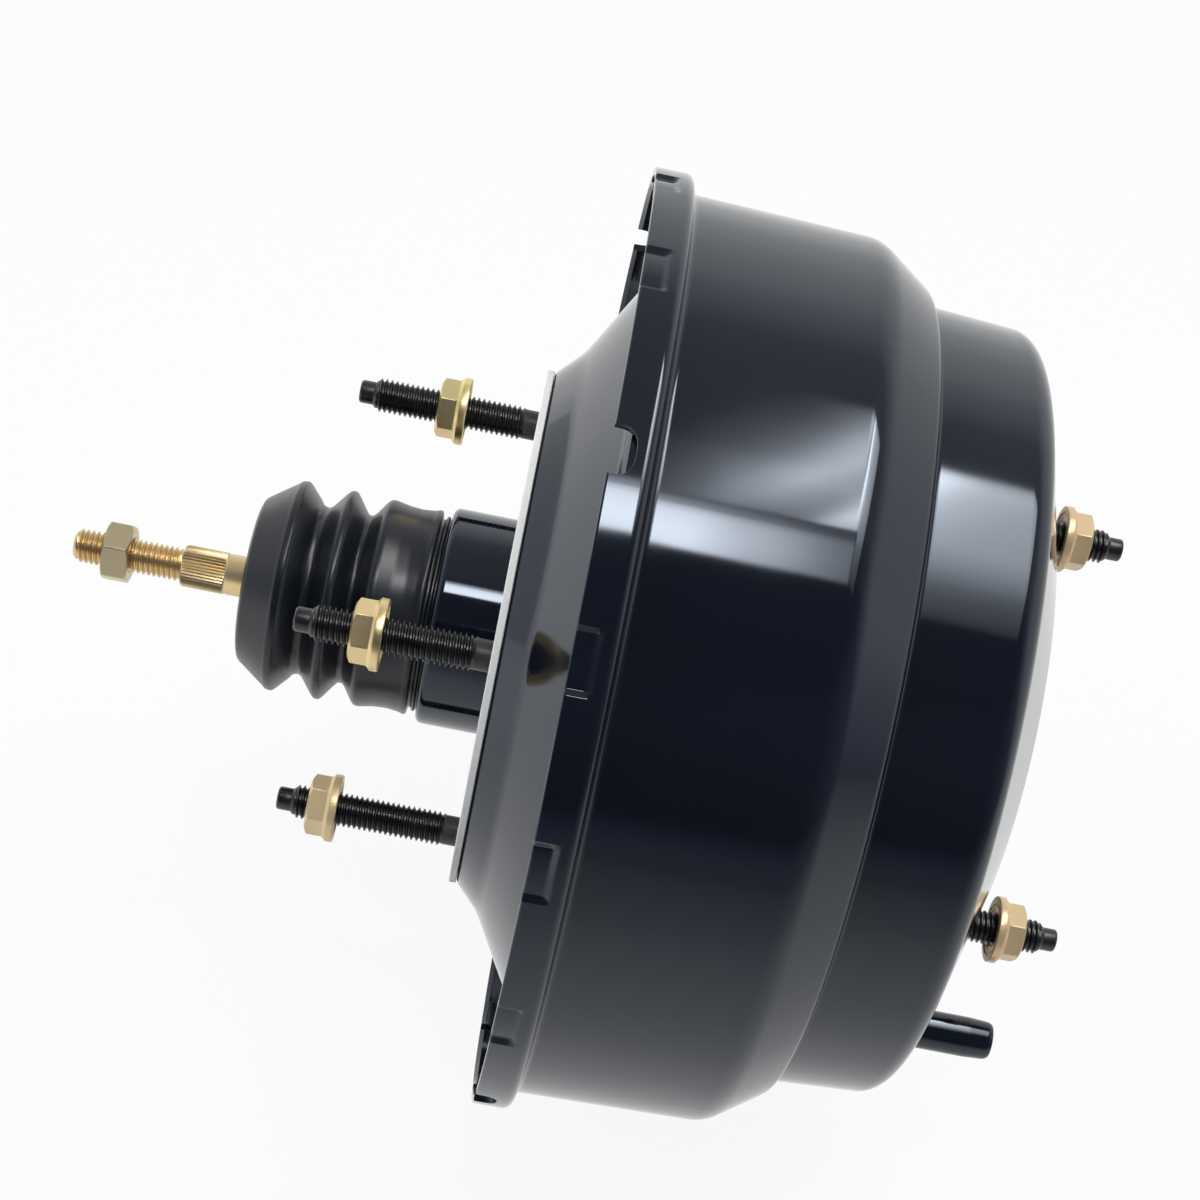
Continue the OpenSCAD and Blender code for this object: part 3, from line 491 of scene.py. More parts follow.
refinish(zinc_sheet, "rear_reinforcement", "front_reinforcement", "centre_plate",
         "rear_piston_plate", "front_piston_plate", "rear_hub_ring", "front_hub_ring",
         "neck_retainer", "poppet_retainer", "stop_key", "output_rod_retainer",
         "rod_spring_seat")


# Seals, diaphragms and poppet: moulded rubber. The diaphragms roll between can and disc as the
# discs go forward; the web of each is made of twelve sectors, fixed where they are built.
# Moulded rubber: matt black with a faint bloom.
inner_rubber, shader, place = finish_named("moulded_black_rubber")
bloom = add(inner_rubber, "ShaderNodeTexNoise", {"Vector": place, "Scale": 90.0, "Detail": 4.0})
pore = add(inner_rubber, "ShaderNodeTexNoise", {"Vector": place, "Scale": 2400.0})
grain = add(inner_rubber, "ShaderNodeBump",
            {"Height": pore.outputs[0], "Strength": 0.15, "Distance": 0.0002})
feed(inner_rubber, shader, Base_Color=mixed(inner_rubber, bloom.outputs[0], "#17181a", "#2a2b2d"),
     Roughness=0.62, IOR=1.5, Normal=grain.outputs[0])

hub_r, tail_r = 25.5, 17.5
seal_profiles = {
    "neck_seal": [(-12, 17.55), (-4, 17.55), (-4, 24.3), (-12, 24.3), (-12, 22.8), (-8, 22.5),
                  (-8, 19.3), (-12, 19.1)],
    "centre_seal": [(58, 25.55), (66, 25.55), (66, 29.5), (58, 29.5), (58, 28.1), (62, 27.9),
                    (62, 26.9), (58, 26.7)],
    "poppet": [(1, 12.6), (1, 14.5), (4, 14.5), (4, 12.9), (10.4, 12.3), (13.2, 12.2),
               (13.2, 7), (10.2, 7), (10.2, 11.1), (3, 11.7), (2.4, 12.6)],
    "reaction_disc": [(47, 0), (47, 11.95), (52, 11.95), (52, 0)],
}
for node, body in (("neck_seal", "housing"), ("centre_seal", "housing"),
                   ("poppet", "power_piston"), ("reaction_disc", "power_piston")):
    profile = seal_profiles[node]
    if node == "reaction_disc":
        profile = softened(profile, 0.3, closed=False)
    else:
        profile = softened(profile, 0.3)
    seal = piece(node + "_moulding", [turned(profile, round_angles(96))],
                 closed=node != "reaction_disc")
    seal.data.materials.append(inner_rubber)
    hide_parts(node)
    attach(seal, body)

rear_disc_x, front_disc_x, rubber_t, hub_bead_t = 11.0, 78.0, 1.4, 2.5
rear_fold = joined([(rear_disc_x, 26), (rear_disc_x, 57.6), (21.9, 66.6), (21.9, 91.5)],
                   arc(33.3, 97.75, 6.25, -90, 90, 16), (22.4, 104.0))
front_fold = joined([(front_disc_x, 33), (front_disc_x, 81)],
                    arc(front_disc_x + 8, 86.2, 5.2, -90, 90, 16), (80.1, 91.4))
rear_bead = [(20.2, 106.4), (20.2, 109.6), (20.6, 110), (21.8, 110), (22.2, 109.4),
             (22.2, 108.5), (22.5, 106), (22.5, 103.8), (21.4, 103.8)]
front_bead = [(76, 90), (80.2, 90), (80.2, 91.4), (79.6, 91.8), (79.6, 95.2), (76, 97.2)]
for node, fold, bead, out_r, in_r, hole_r, hub_bead_r, disc_x in (
        ("rear_diaphragm", rear_fold, rear_bead, 103.0, 92.5, tail_r, 26.5, rear_disc_x),
        ("front_diaphragm", front_fold, front_bead, 90.5, 81.0, hub_r, 33.5, front_disc_x)):
    hub = softened([(disc_x - hub_bead_t, hole_r), (disc_x, hole_r), (disc_x, hub_bead_r),
                    (disc_x - hub_bead_t, hub_bead_r)], 0.4)
    for part, profile, body in (("rim_bead", softened(bead, 0.3), "housing"),
                                ("hub_bead", hub, "power_piston")):
        made = piece(node + "_" + part, [turned(profile, round_angles(144))], closed=True)
        made.data.materials.append(inner_rubber)
        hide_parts(node)
        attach(made, body)
    profile = wall(held(fold, 1.5), rubber_t)
    for k in range(12):
        a = np.radians(30 * k + np.linspace(0, 30, 17))
        sector = turned(profile, a)
        ends = [np.stack([edge[:len(edge) // 2], edge[:len(edge) // 2 - 1:-1]], axis=1)
                for edge in (sector[:, 0], sector[:, -1])]
        made = piece("%s_web_%02d" % (node, k + 1), [sector, *ends], closed=True)
        made.data.materials.append(inner_rubber)
        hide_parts(node)
        x = 0.001 * disc_x
        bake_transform(made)


# Valve body: one moulding of dark phenolic resin, machined on its running faces.
# Phenolic: dark brown, slightly mottled by its wood-flour filler.
phenolic, shader, place = finish_named("moulded_phenolic_resin")
filler = add(phenolic, "ShaderNodeTexNoise", {"Vector": place, "Scale": 420.0, "Detail": 6.0})
grain = add(phenolic, "ShaderNodeBump",
            {"Height": filler.outputs[0], "Strength": 0.1, "Distance": 0.0002})
feed(phenolic, shader, Base_Color=mixed(phenolic, filler.outputs[0], "#2a1f18", "#43332a"),
     Roughness=0.42, IOR=1.6, Normal=grain.outputs[0])
refinish(phenolic, "valve_body")


# Plunger and output rod tip: turned steel, ground on the running faces.
# Turned steel: bright, with rings from the tool about 0.4 mm apart.
turned_steel, shader, place = finish_named("turned_bright_steel")
rings = add(turned_steel, "ShaderNodeTexWave", {"Vector": place, "Scale": 800.0},
            wave_type="BANDS", bands_direction="X")
tint = add(turned_steel, "ShaderNodeTexNoise", {"Vector": place, "Scale": 120.0})
grain = add(turned_steel, "ShaderNodeBump",
            {"Height": rings.outputs["Fac"], "Strength": 0.1, "Distance": 0.0001})
feed(turned_steel, shader, Base_Color=mixed(turned_steel, tint.outputs[0], "#a9abad", "#c3c5c7"),
     Metallic=1.0, Roughness=0.22, Normal=grain.outputs[0])
refinish(turned_steel, "plunger", "output_rod_tip")


# Springs: cold-coiled steel wire with closed ends. The main one pushes the discs back, the
# others return the rod and close the poppet.
# Spring wire: grey drawn steel, lightly oiled.
spring_wire, shader, place = finish_named("drawn_spring_wire")
scale = add(spring_wire, "ShaderNodeTexNoise", {"Vector": place, "Scale": 700.0, "Detail": 3.0})
rough = add(spring_wire, "ShaderNodeMapRange", {0: scale.outputs[0], 3: 0.22, 4: 0.42})
feed(spring_wire, shader, Base_Color=mixed(spring_wire, scale.outputs[0], "#6b6e72", "#96999d"),
     Metallic=1.0, Roughness=rough.outputs[0])


def coil(x0, x1, radius, end_radius, wire, turns):
    """Wire of radius w swept along the helix (x(t), q cos t, q sin t). x climbs two wire radii
    a turn over the dead 1.25 turns at each end and evenly between; q goes from one end
    radius to the other. The tube is p + w (cos b u + sin b v), u outward, v across."""
    t = np.linspace(0, turns, 24 * turns + 1)
    dead, h = 1.25, x1 - x0 - 2 * wire
    x = x0 + wire + np.interp(t, [0, dead, turns - dead, turns],
                              [0, 2 * wire * dead, h - 2 * wire * dead, h])
    a, q = 2 * np.pi * t, radius + (end_radius - radius) * t / turns
    p = np.stack([x, q * np.cos(a), q * np.sin(a)], axis=-1)
    u = np.stack([0 * a, np.cos(a), np.sin(a)], axis=-1)
    v = np.cross(np.gradient(p, axis=0), u)
    v /= np.linalg.norm(v, axis=1)[:, None]
    b = round_angles(12)
    skin = p[:, None] + wire * (np.cos(b)[None, :, None] * u[:, None]
                                + np.sin(b)[None, :, None] * v[:, None])
    cap0, cap1 = np.repeat(p[:1, None], 13, axis=1), np.repeat(p[-1:, None], 13, axis=1)
    return np.concatenate([cap0, skin, cap1])


for node, x0, x1, radius, end_radius, wire, turns, pair in (
        ("main_return_spring", 44, 114.2, 19.7, 19.7, 1.6, 8, ("housing", "power_piston")),
        ("rod_return_spring", -28.5, -1, 9.6, 10.2, 0.9, 7, ("power_piston", "valve_plunger")),
        ("poppet_spring", 1, 10.2, 9.4, 9.4, 0.5, 5, None)):
    spring = piece(node + "_wire", [coil(x0, x1, radius, end_radius, wire, turns)])
    spring.data.materials.append(spring_wire)
    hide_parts(node)
    if pair:
        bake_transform(spring)
    else:
        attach(spring, "power_piston")


# Air filter and silencer: a ring of open foam and a ring of felt in the tail of the valve
# body, round the pushrod.
# Open foam: grey-brown cells about 1 mm across. Felt: matted wool, nearly white.
foam, shader, place = finish_named("open_cell_foam")
cells = add(foam, "ShaderNodeTexVoronoi", {"Vector": place, "Scale": 900.0},
            feature="DISTANCE_TO_EDGE")
grain = add(foam, "ShaderNodeBump",
            {"Height": cells.outputs["Distance"], "Strength": 1.0, "Distance": 0.0006})
feed(foam, shader, Base_Color=mixed(foam, cells.outputs["Distance"], "#8d877a", "#3d3a34"),
     Roughness=0.95, Normal=grain.outputs[0])
felt, shader, place = finish_named("wool_felt")
wool = add(felt, "ShaderNodeTexNoise",
           {"Vector": place, "Scale": 800.0, "Detail": 6.0, "Distortion": 3.0})
grain = add(felt, "ShaderNodeBump",
            {"Height": wool.outputs[0], "Strength": 0.8, "Distance": 0.0005})
feed(felt, shader, Base_Color=mixed(felt, wool.outputs[0], "#b3ae9f", "#ddd9cc"),
     Roughness=0.95, Sheen_Weight=0.3, Normal=grain.outputs[0])
for node, x0, x1, material, slot in (
        ("air_filter", -56.5, -43.1, foam, "filter_foam"),
        ("silencer", -43.0, -38.1, felt, "silencer_felt")):
    profile = softened([(x0, 5.0), (x1, 5.0), (x1, 14.5), (x0, 14.5)], 0.6)
    ring = piece(node + "_ring", [turned(profile, round_angles(96))], closed=True)
    ring.data.materials.append(material)
    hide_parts(node)
    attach(ring, "power_piston")


# Operating rod: turned steel with a ball that the plunger's socket grips, a plain shank, a
# straight-knurled band for pliers and an M8 thread for the clevis. Golden zinc passivation.
# Golden zinc passivation: warm yellow over bright zinc, lighter and darker in patches.
gold_zinc, shader, place = finish_named("golden_passivated_zinc")
patch = add(gold_zinc, "ShaderNodeTexNoise", {"Vector": place, "Scale": 160.0, "Detail": 3.0})
fine = add(gold_zinc, "ShaderNodeTexNoise", {"Vector": place, "Scale": 2600.0})
rough = add(gold_zinc, "ShaderNodeMapRange", {0: patch.outputs[0], 3: 0.32, 4: 0.44})
grain = add(gold_zinc, "ShaderNodeBump",
            {"Height": fine.outputs[0], "Strength": 0.12, "Distance": 0.0001})
feed(gold_zinc, shader, Base_Color=mixed(gold_zinc, patch.outputs[0], "#d2b682", "#e6d0a3"),
     Metallic=1.0, Roughness=rough.outputs[0], Normal=grain.outputs[0])

rod_r, knurl_r, ball_x, ball_r, ball_neck_r, tip_r = 4.9, 4.7, 19.0, 4.6, 3.2, 2.7
angles = round_angles(160)
teeth, knurl_from, knurl_to, thread_from, rod_tip = 40, -65.9, -76.4, -76.6, -102.4
ball_end_a = 180 - math.degrees(math.asin(ball_neck_r / ball_r))
inner_end = joined(arc(ball_x, 0, ball_r, 0, ball_end_a, 20),
                   [(ball_x - 10.5, ball_neck_r), (ball_x - 13.0, rod_r),
                    (knurl_from + 0.4, rod_r), (knurl_from + 0.2, knurl_r + 0.05),
                    (knurl_from, knurl_r)])
# The knurl has flat-topped teeth: r = knurl_r + depth (0.38 - 0.62 w), where w is 0 on a crest
# and 1 in a gap, held between 0.15 and 0.85. The depth fades out at both ends.
x = np.array([knurl_from, knurl_from - 0.5, knurl_to + 0.5, knurl_to])
depth = np.array([0.0, 1.0, 1.0, 0.0])
w = np.clip(np.abs(((angles * teeth / (2 * np.pi)) % 1) - 0.5) * 2, 0.15, 0.85)
r = knurl_r + depth[:, None] * (0.38 - 0.62 * w[None, :])
knurl = np.stack([np.repeat(x[:, None], len(angles), axis=1),
                  r * np.cos(angles), r * np.sin(angles)], axis=-1)
foot = joined([(knurl_to, knurl_r), (knurl_to - 0.1, shank_r + 0.2), (thread_from, shank_r)])
screw = thread(-thread_from, -rod_tip, angles[::4], root=3.25, point=(-rod_tip, tip_r))
tip = turned([(-rod_tip, tip_r)], angles[::4])
cap = turned([(-rod_tip, tip_r), (-rod_tip, 0.0)], angles[::4])
screw_grids = [at(g, 0, flip=True) for g in
               (screw, np.concatenate([screw[-1:], tip]), cap)]
rod = piece("operating_rod_turned",
            [turned(inner_end, angles), knurl, turned(foot, angles), *screw_grids])
rod.data.materials.append(gold_zinc)
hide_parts("operating_rod")
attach(rod, "pushrod")
refinish(gold_zinc, "output_rod")


# Boot: moulded rubber bellows. Its lip sits in the neck, two folds give it length, and its
# nose grips the valve body's tail.
# Boot rubber: satin, with a fine moulded grain that greys where it faces the light.
boot_rubber, shader, place = finish_named("satin_moulded_boot_rubber")
skin_tone = add(boot_rubber, "ShaderNodeTexNoise", {"Vector": place, "Scale": 70.0, "Detail": 5.0})
pores = add(boot_rubber, "ShaderNodeTexNoise", {"Vector": place, "Scale": 1800.0, "Detail": 2.0})
rough = add(boot_rubber, "ShaderNodeMapRange",
            {0: skin_tone.outputs[0], 1: 0.3, 2: 0.7, 3: 0.27, 4: 0.36})
grain = add(boot_rubber, "ShaderNodeBump",
            {"Height": pores.outputs[0], "Strength": 0.05, "Distance": 0.0002})
feed(boot_rubber, shader, Base_Color=mixed(boot_rubber, skin_tone.outputs[0], "#0c0f15", "#141920"),
     Roughness=rough.outputs[0], IOR=1.5, Normal=grain.outputs[0])

boot_line = [(-60.2, 9.5), (-60.2, 17.9), (-59.6, 19.6), (-52.6, 24.6), (-51.9, 25.2), (-50.6, 25.3),
             (-50.0, 24.8), (-47.2, 21.7), (-46.4, 20.5), (-45.0, 20.1), (-44.0, 20.7),
             (-40.9, 24.6), (-40.2, 25.2), (-39.2, 25.2), (-38.6, 24.6), (-36.4, 21.5),
             (-35.4, 20.3), (-34.4, 20.3), (-33.6, 21.0), (-31.4, 24.2), (-30.6, 24.9),
             (-29.6, 25.0), (-26.0, 24.3), (-23.0, 24.1), (-20.0, 24.4), (-18.9, 24.8),
             (-18.2, 24.6), (-18.0, 22.8), (-17.1, 22.8), (-17.0, 23.6), (-16.3, 23.6),
             (-16.2, 22.9), (-15.7, 22.9), (-15.6, 24.2), (-12.0, 24.2), (-12.0, 22.0),
             (-17.7, 21.4), (-19.2, 22.9), (-29.4, 22.9), (-30.8, 21.3), (-33.2, 19.0),
             (-36.2, 19.0), (-38.6, 23.3), (-40.6, 23.3), (-43.2, 19.0), (-46.2, 19.0),
             (-48.8, 23.0), (-50.8, 22.6), (-54.0, 17.5), (-57.0, 17.5), (-57.0, 9.5)]
boot = piece("bellows_boot", [turned(softened(boot_line, 0.6, 4), round_angles(144))], closed=True)
boot.data.materials.append(boot_rubber)
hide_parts("boot")
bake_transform(boot)


# Nuts: cold-formed flange nuts, run part-way on for transport, and a thin hexagon nut that
# locks the clevis. Bright zinc with a pale yellow passivation.
def zinc_plate(name, low, high, mirror):
    """Passivated zinc between two hex tints that change over about 25 mm, with a fine crystal
    grain that dulls the mirror. mirror is the share of metal; the film scatters the rest."""
    material, shader, place = finish_named(name)
    tint = add(material, "ShaderNodeTexNoise", {"Vector": place, "Scale": 40.0, "Detail": 2.0})
    hue = add(material, "ShaderNodeMapRange", {0: tint.outputs[0], 1: 0.40, 2: 0.60})
    fine = add(material, "ShaderNodeTexNoise", {"Vector": place, "Scale": 1500.0, "Detail": 2.0})
    rough = add(material, "ShaderNodeMapRange", {0: fine.outputs[0], 3: 0.28, 4: 0.42})
    grain = add(material, "ShaderNodeBump",
                {"Height": fine.outputs[0], "Strength": 0.06, "Distance": 0.0001})
    feed(material, shader, Base_Color=mixed(material, hue.outputs[0], low, high), Metallic=mirror,
         Roughness=rough.outputs[0], Normal=grain.outputs[0])
    return material


# Straw yellow at the firewall, a warmer and thicker film at the master cylinder and on one nut
# of the firewall, dull straw on the rod.
straw_zinc = zinc_plate("straw_yellow_zinc_plate", "#ebdca0", "#e6cd98", 1.0)
tan_zinc = zinc_plate("tan_yellow_zinc_plate", "#e2cb9c", "#e0be96", 0.45)
dull_zinc = zinc_plate("dull_straw_zinc_plate", "#cfc297", "#d3c4a0", 1.0)


def hex_angles(turn):
    """Twelve angles to each sixth of a turn, crowded at the rounded corners."""
    b = np.array([-30, -29.3, -28.6, -27.6, -18, -6, 6, 18, 27.6, 28.6, 29.3])
    a = (turn + 60 * np.arange(6)[:, None] + b[None, :]).reshape(-1)
    return np.radians(np.r_[a, a[0] + 360])


def hexagon(angles, af, turn, round_r=0.35):
    """Radius of a hexagon af across flats: af / 2 / cos b, where b is the angle to the nearest
    flat's middle, and at a corner the arc d cos c + sqrt(round_r^2 - d^2 sin^2 c), where d is
    the arc's centre and c the angle to the corner."""
    b = (angles - math.radians(turn) + np.pi / 6) % (np.pi / 3) - np.pi / 6
    d = (af / 2 - round_r) / math.cos(math.pi / 6)
    c = np.pi / 6 - np.abs(b)
    arc_r = d * np.cos(c) + np.sqrt(np.clip(round_r**2 - (d * np.sin(c)) ** 2, 0, None))
    on_arc = np.abs(b) > math.atan((af / 2 - round_r) * math.tan(math.pi / 6) / (af / 2))
    return np.where(on_arc, arc_r, af / 2 / np.cos(b))


def hex_end(x, way, face_r, af, turn):
    """Rows of a hexagon's end whose face is at x. A 30 degree cone from the circle face_r meets
    the flats at x - way (r - face_r) tan 30, so the edge there is the curve of the real one."""
    angles = hex_angles(turn)
    r = hexagon(angles, af, turn)
    drop = (r - face_r) * math.tan(math.radians(30))
    rows = [(x - way * (drop + 0.9), r), (x - way * (drop + 0.1), r), (x - way * drop, r),
            (x - way * 0.06 + 0 * r, face_r + 0.1 + 0 * r), (x + 0 * r, face_r - 0.1 + 0 * r),
            (x + 0 * r, face_r - 0.4 + 0 * r)]
    return np.stack([np.stack([u, v * np.cos(angles), v * np.sin(angles)], axis=-1)
                     for u, v in rows])


nut_af, nut_height, bore_r, flange_r, flange_top, edge_r = 12.6, 7.1, 4.05, 8.1, 2.5, 0.3


def flange_nut(turn):
    """A flange nut from its bearing face at x = 0: bore, countersink and grooved bearing face,
    flange with a straight edge, then the hexagon up to its chamfered face and the bore."""
    angles = hex_angles(turn)
    base = joined([(nut_height - 0.4, bore_r), (0.9, bore_r), (0.35, 4.7), (0.35, 5.4),
                   (0.15, 5.5), (0.15, 5.9), (0.35, 6.0), (0.35, 6.6), (0.0, 6.8),
                   (0.0, flange_r - edge_r)],
                  arc(edge_r, flange_r - edge_r, edge_r, 180, 90, 3),
                  arc(2.0 - edge_r, flange_r - edge_r, edge_r, 90, 10, 3),
                  [(2.1, flange_r - 0.4), (flange_top, flange_r - 0.7)])
    foot = hexagon(angles, nut_af, turn)[None, :]
    rise = flange_top + np.array([0.0, 0.15, 0.4])[:, None] + 0 * foot
    foot = foot + np.array([0.25, 0.06, 0.0])[:, None]
    foot = np.stack([rise, foot * np.cos(angles), foot * np.sin(angles)], axis=-1)
    end = hex_end(nut_height, 1, 5.9, nut_af, turn)
    ring = turned([(flange_top, flange_r - 0.7)], angles)
    return [turned(base, angles), np.concatenate([ring, foot, end]),
            turned([(nut_height, 5.5), (nut_height, 4.7), (nut_height - 0.4, bore_r)], angles)]


nuts = [[at(g, x, y, z, flip=True) for g in flange_nut(turn)] for (y, z), x, turn in
        zip(firewall_at, (-17.5, -24.0, -29.2, -20.9), (27, 45, 50, 25))]
firewall_nuts = piece("firewall_flange_nuts", nuts[0] + nuts[1] + nuts[3])
warm_nut = piece("firewall_flange_nut_warm", nuts[2])
master_nut_gap = 10.8
grids = []
for (y, z), turn in zip(master_at, (36, 28)):
    grids += [at(g, seat_x + master_nut_gap, y, z) for g in flange_nut(turn)]
master_nuts = piece("master_cylinder_flange_nuts", grids)

lock_af, half_t, lock_turn, lock_x = 13.0, 3.2, 40, -91.9
angles = hex_angles(lock_turn)
lock = [turned([(0.6 - half_t, bore_r), (-half_t, 4.7), (-half_t, 5.9)], angles),
        np.concatenate([hex_end(-half_t, -1, 6.3, lock_af, lock_turn)[::-1],
                        hex_end(half_t, 1, 6.3, lock_af, lock_turn)]),
        turned([(half_t, 5.9), (half_t, 4.7), (half_t - 0.6, bore_r), (0.6 - half_t, bore_r)],
               angles)]
rod_nut = piece("clevis_lock_nut", [at(g, lock_x) for g in lock])
for made, node, body, plate in ((firewall_nuts, "firewall_nuts", "housing", straw_zinc),
                                (warm_nut, "firewall_nuts", "housing", tan_zinc),
                                (master_nuts, "master_cylinder_nuts", "housing", tan_zinc),
                                (rod_nut, "rod_nut", "pushrod", dull_zinc)):
    made.data.materials.append(plate)
    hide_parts(node)
    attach(made, body)


# Studio: a pale floor, a bright horizon behind the booster, dark space before it and three soft
# lamps. What the black paint mirrors of these is what shapes it.
floor_z = -0.1122
floor_mesh = bpy.data.meshes.new("floor")
floor_mesh.from_pydata([(-6, -6, floor_z), (6, -6, floor_z), (6, 6, floor_z), (-6, 6, floor_z)],
                       [], [(0, 1, 2, 3)])
floor = bpy.data.objects.new("floor", floor_mesh)
scene.collection.objects.link(floor)


def ramp(tree, factor, stops):
    """Value that goes in straight lines through the stops (position, value), in rising order."""
    made = add(tree, "ShaderNodeValToRGB", {0: factor})
    band = made.color_ramp.elements
    band[0].position, band[1].position = stops[0][0], stops[-1][0]
    for where, _ in stops[1:-1]:
        band.new(where)
    for point, (_, value) in zip(band, stops):
        point.color = (value, value, value, 1)
    return made.outputs[0]


# Pale matt card. The camera sees it near white, with a faint shadow of the booster. Reflections
# see it fade towards the camera side, but later, and from up to 1.4 times as bright, at the
# firewall side.
card = bpy.data.materials.new("pale_matt_card")
card.use_nodes = True
out = card.node_tree.nodes["Material Output"]
card.node_tree.nodes.remove(card.node_tree.nodes["Principled BSDF"])
path = add(card, "ShaderNodeLightPath")
matt = add(card, "ShaderNodeBsdfDiffuse", {"Color": (0.75, 0.75, 0.75, 1)})
spot = add(card, "ShaderNodeSeparateXYZ", {0: add(card, "ShaderNodeTexCoord").outputs["Object"]})
left = add(card, "ShaderNodeMath", {0: spot.outputs["X"], 1: 0.0}, operation="MINIMUM")
near = add(card, "ShaderNodeMath", {0: left.outputs[0], 1: -1.5, 2: spot.outputs["Y"]},
           operation="MULTIPLY_ADD")
reach = add(card, "ShaderNodeMapRange", {0: near.outputs[0], 1: -1.6, 2: 0.1})
lit = ramp(card, reach.outputs[0], [(0.0, 0.27), (0.32, 0.36), (0.59, 0.48), (0.68, 0.56),
                                    (0.75, 0.74), (0.81, 0.86), (1.0, 0.97)])
gain = add(card, "ShaderNodeMapRange", {0: spot.outputs["X"], 1: -0.1, 2: -0.5, 3: 1.0, 4: 1.4})
lit = add(card, "ShaderNodeMath", {0: lit, 1: gain.outputs[0]}, operation="MULTIPLY")
strength = add(card, "ShaderNodeMix", {0: path.outputs["Is Camera Ray"], 2: lit.outputs[0], 3: 1.0})
glow = add(card, "ShaderNodeEmission", {"Strength": strength.outputs[0]})
mirrored = add(card, "ShaderNodeMath", {0: path.outputs["Is Glossy Ray"],
                                        1: path.outputs["Is Transmission Ray"]},
               operation="MAXIMUM")
seen = add(card, "ShaderNodeMath", {0: path.outputs["Is Camera Ray"], 1: mirrored.outputs[0]},
           operation="MAXIMUM")
share = add(card, "ShaderNodeMath", {0: seen.outputs[0], 1: 0.92}, operation="MULTIPLY")
cover = add(card, "ShaderNodeMixShader", {0: share.outputs[0], 1: matt.outputs[0],
                                          2: glow.outputs[0]})
card.node_tree.links.new(cover.outputs[0], out.inputs["Surface"])
floor_mesh.materials.append(card)


# Surroundings by direction: bright behind the booster up to half height, greyer overhead, and
# dim and cool before it but for a low band. The camera sees plain white.
world = bpy.data.worlds.new("studio")
scene.world = world
world.use_nodes = True
sky = world.node_tree.nodes["Background"]
toward = add(world, "ShaderNodeSeparateXYZ",
             {0: add(world, "ShaderNodeTexCoord").outputs["Generated"]})
height = ramp(world, toward.outputs["Z"],
              [(0.0, 0.92), (0.45, 0.95), (0.62, 0.72), (0.72, 0.47), (0.85, 0.40), (1.0, 0.35)])
across = add(world, "ShaderNodeMath", {0: toward.outputs["Y"], 1: 0.5, 2: 0.5},
             operation="MULTIPLY_ADD")
behind = ramp(world, across.outputs[0],
              [(0.0, 0.06), (0.075, 0.12), (0.20, 0.20), (0.35, 0.30), (0.50, 1.0)])
low = ramp(world, toward.outputs["Z"], [(0.0, 0.30), (0.05, 0.22), (0.12, 0.08), (0.2, 0.0)])
side = add(world, "ShaderNodeMath", {0: behind, 1: low}, operation="MAXIMUM")
level = add(world, "ShaderNodeMath", {0: height, 1: side.outputs[0]}, operation="MULTIPLY")
shade = add(world, "ShaderNodeMix", {0: behind, 6: (0.78, 0.9, 1.25, 1), 7: (0.97, 0.99, 1.0, 1)},
            data_type="RGBA")
world.node_tree.links.new(shade.outputs[2], sky.inputs["Color"])
world.node_tree.links.new(level.outputs[0], sky.inputs["Strength"])
white = add(world, "ShaderNodeBackground", {"Color": (1, 1, 1, 1), "Strength": 1.0})
path = add(world, "ShaderNodeLightPath")
cover = add(world, "ShaderNodeMixShader", {0: path.outputs["Is Camera Ray"], 1: sky.outputs[0],
                                           2: white.outputs[0]})
world.node_tree.links.new(cover.outputs[0], world.node_tree.nodes["World Output"].inputs[0])


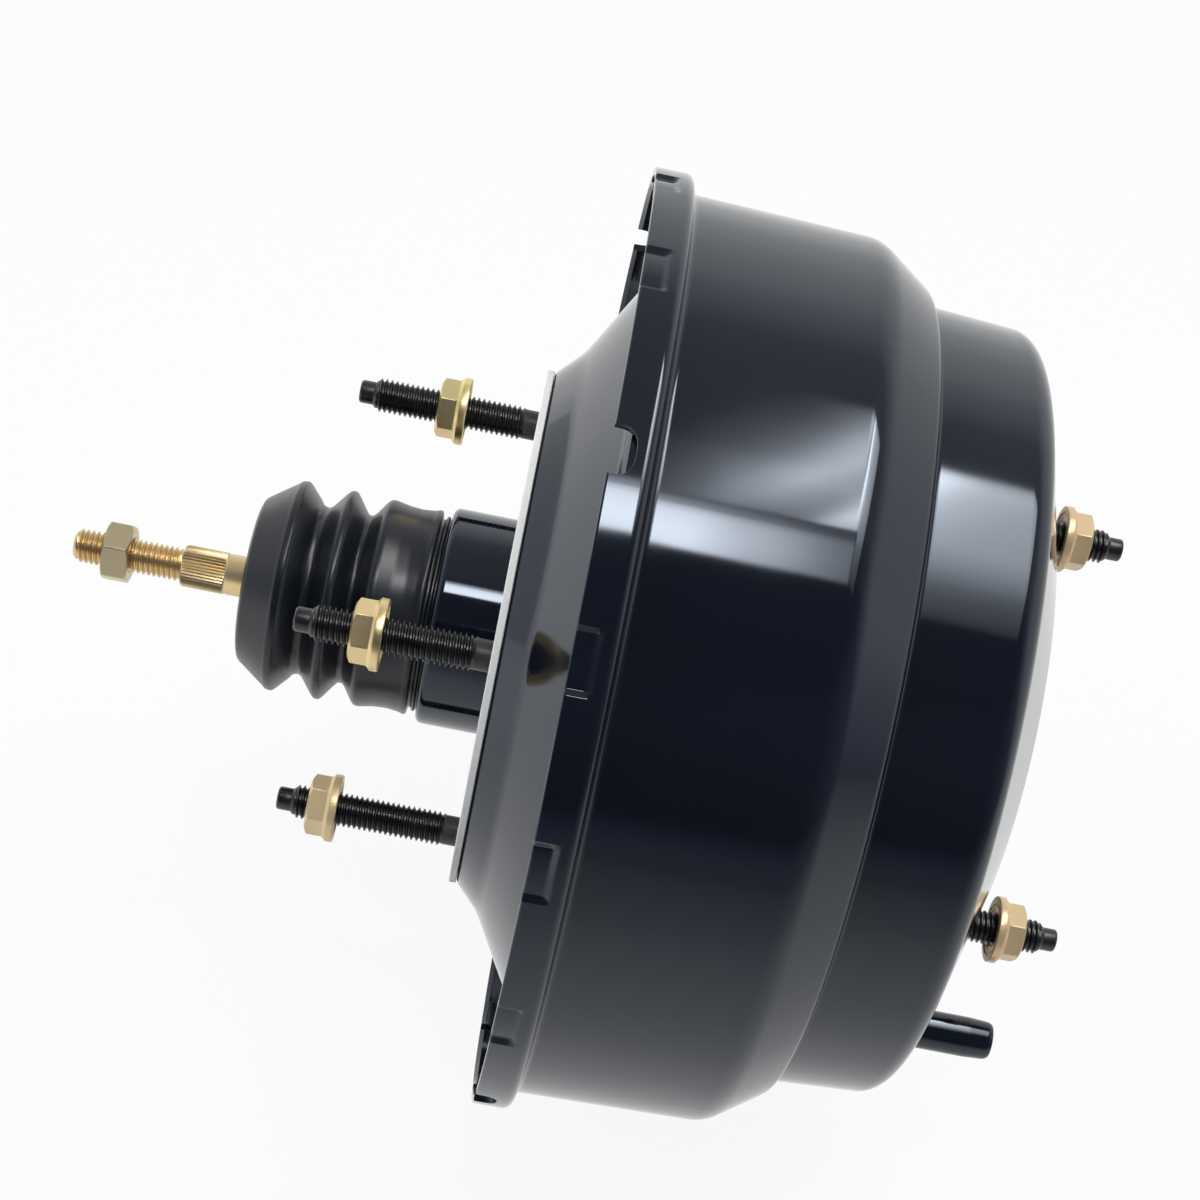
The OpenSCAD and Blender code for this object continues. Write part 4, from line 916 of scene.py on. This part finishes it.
def area_lamp(name, width, depth, radiance, location, turn):
    """A soft lamp whose power is pi x width x depth x radiance. It faces down unless turned,
    by turn, its Euler angles in degrees."""
    lamp = bpy.data.lights.new(name, "AREA")
    lamp.shape, lamp.size, lamp.size_y = "RECTANGLE", width, depth
    lamp.energy = math.pi * width * depth * radiance
    made = bpy.data.objects.new(name, lamp)
    scene.collection.objects.link(made)
    made.location = location
    made.rotation_euler = [math.radians(a) for a in turn]
    return made


def shade_lamp(lamp, along, across):
    """Multiplies the lamp's light by one ramp along its width and one across it."""
    lamp.use_nodes = True
    where = add(lamp, "ShaderNodeSeparateXYZ",
                {0: add(lamp, "ShaderNodeNewGeometry").outputs["Parametric"]})
    level = add(lamp, "ShaderNodeMath", {0: ramp(lamp, where.outputs[0], along),
                                         1: ramp(lamp, where.outputs[1], across)},
                operation="MULTIPLY")
    lamp.node_tree.links.new(level.outputs[0], lamp.node_tree.nodes["Emission"].inputs["Strength"])


# Two lamps overhead with soft edges: a narrow one, and a broad one with a faint and a bright
# band across it and a darker gap between them.
streak = area_lamp("streak_softbox", 0.51, 0.29, 18.0, (0.075, -0.315, 1.2), (0, 0, 0))
shade_lamp(streak.data,
           [(0.0, 0.0), (0.06, 1.0), (0.686, 1.0), (0.745, 0.7), (0.794, 0.5), (0.833, 0.38),
            (0.873, 0.25), (1.0, 0.0)],
           [(0.0, 0.0), (0.10, 0.95), (0.35, 1.0), (0.65, 0.85), (0.80, 0.35), (1.0, 0.0)])
broad = area_lamp("broad_softbox", 0.54, 0.98, 21.0, (0.393, 0.04, 1.2), (0, 0, -11.8))
shade_lamp(broad.data,
           [(0.0, 0.0), (0.07, 0.03), (0.107, 0.07), (0.144, 0.15), (0.181, 0.33), (0.218, 0.46),
            (0.25, 0.33), (0.292, 0.24), (0.315, 0.38), (0.345, 1.0), (0.385, 0.82), (0.42, 0.56),
            (0.45, 0.42), (0.55, 0.3), (1.0, 0.15)],
           [(0.0, 0.05), (0.05, 0.15), (0.153, 0.25), (0.255, 0.45), (0.357, 0.75), (0.459, 1.0),
            (0.888, 1.0), (0.949, 0.8), (1.0, 0.0)])

# A third one at the firewall side lights matt surfaces. Reflections don't show it.
side_fill = area_lamp("side_fill", 1.5, 1.5, 2.6, (-2.0, -0.2, 0.9), (0, -66, 0))
side_fill.visible_glossy = False
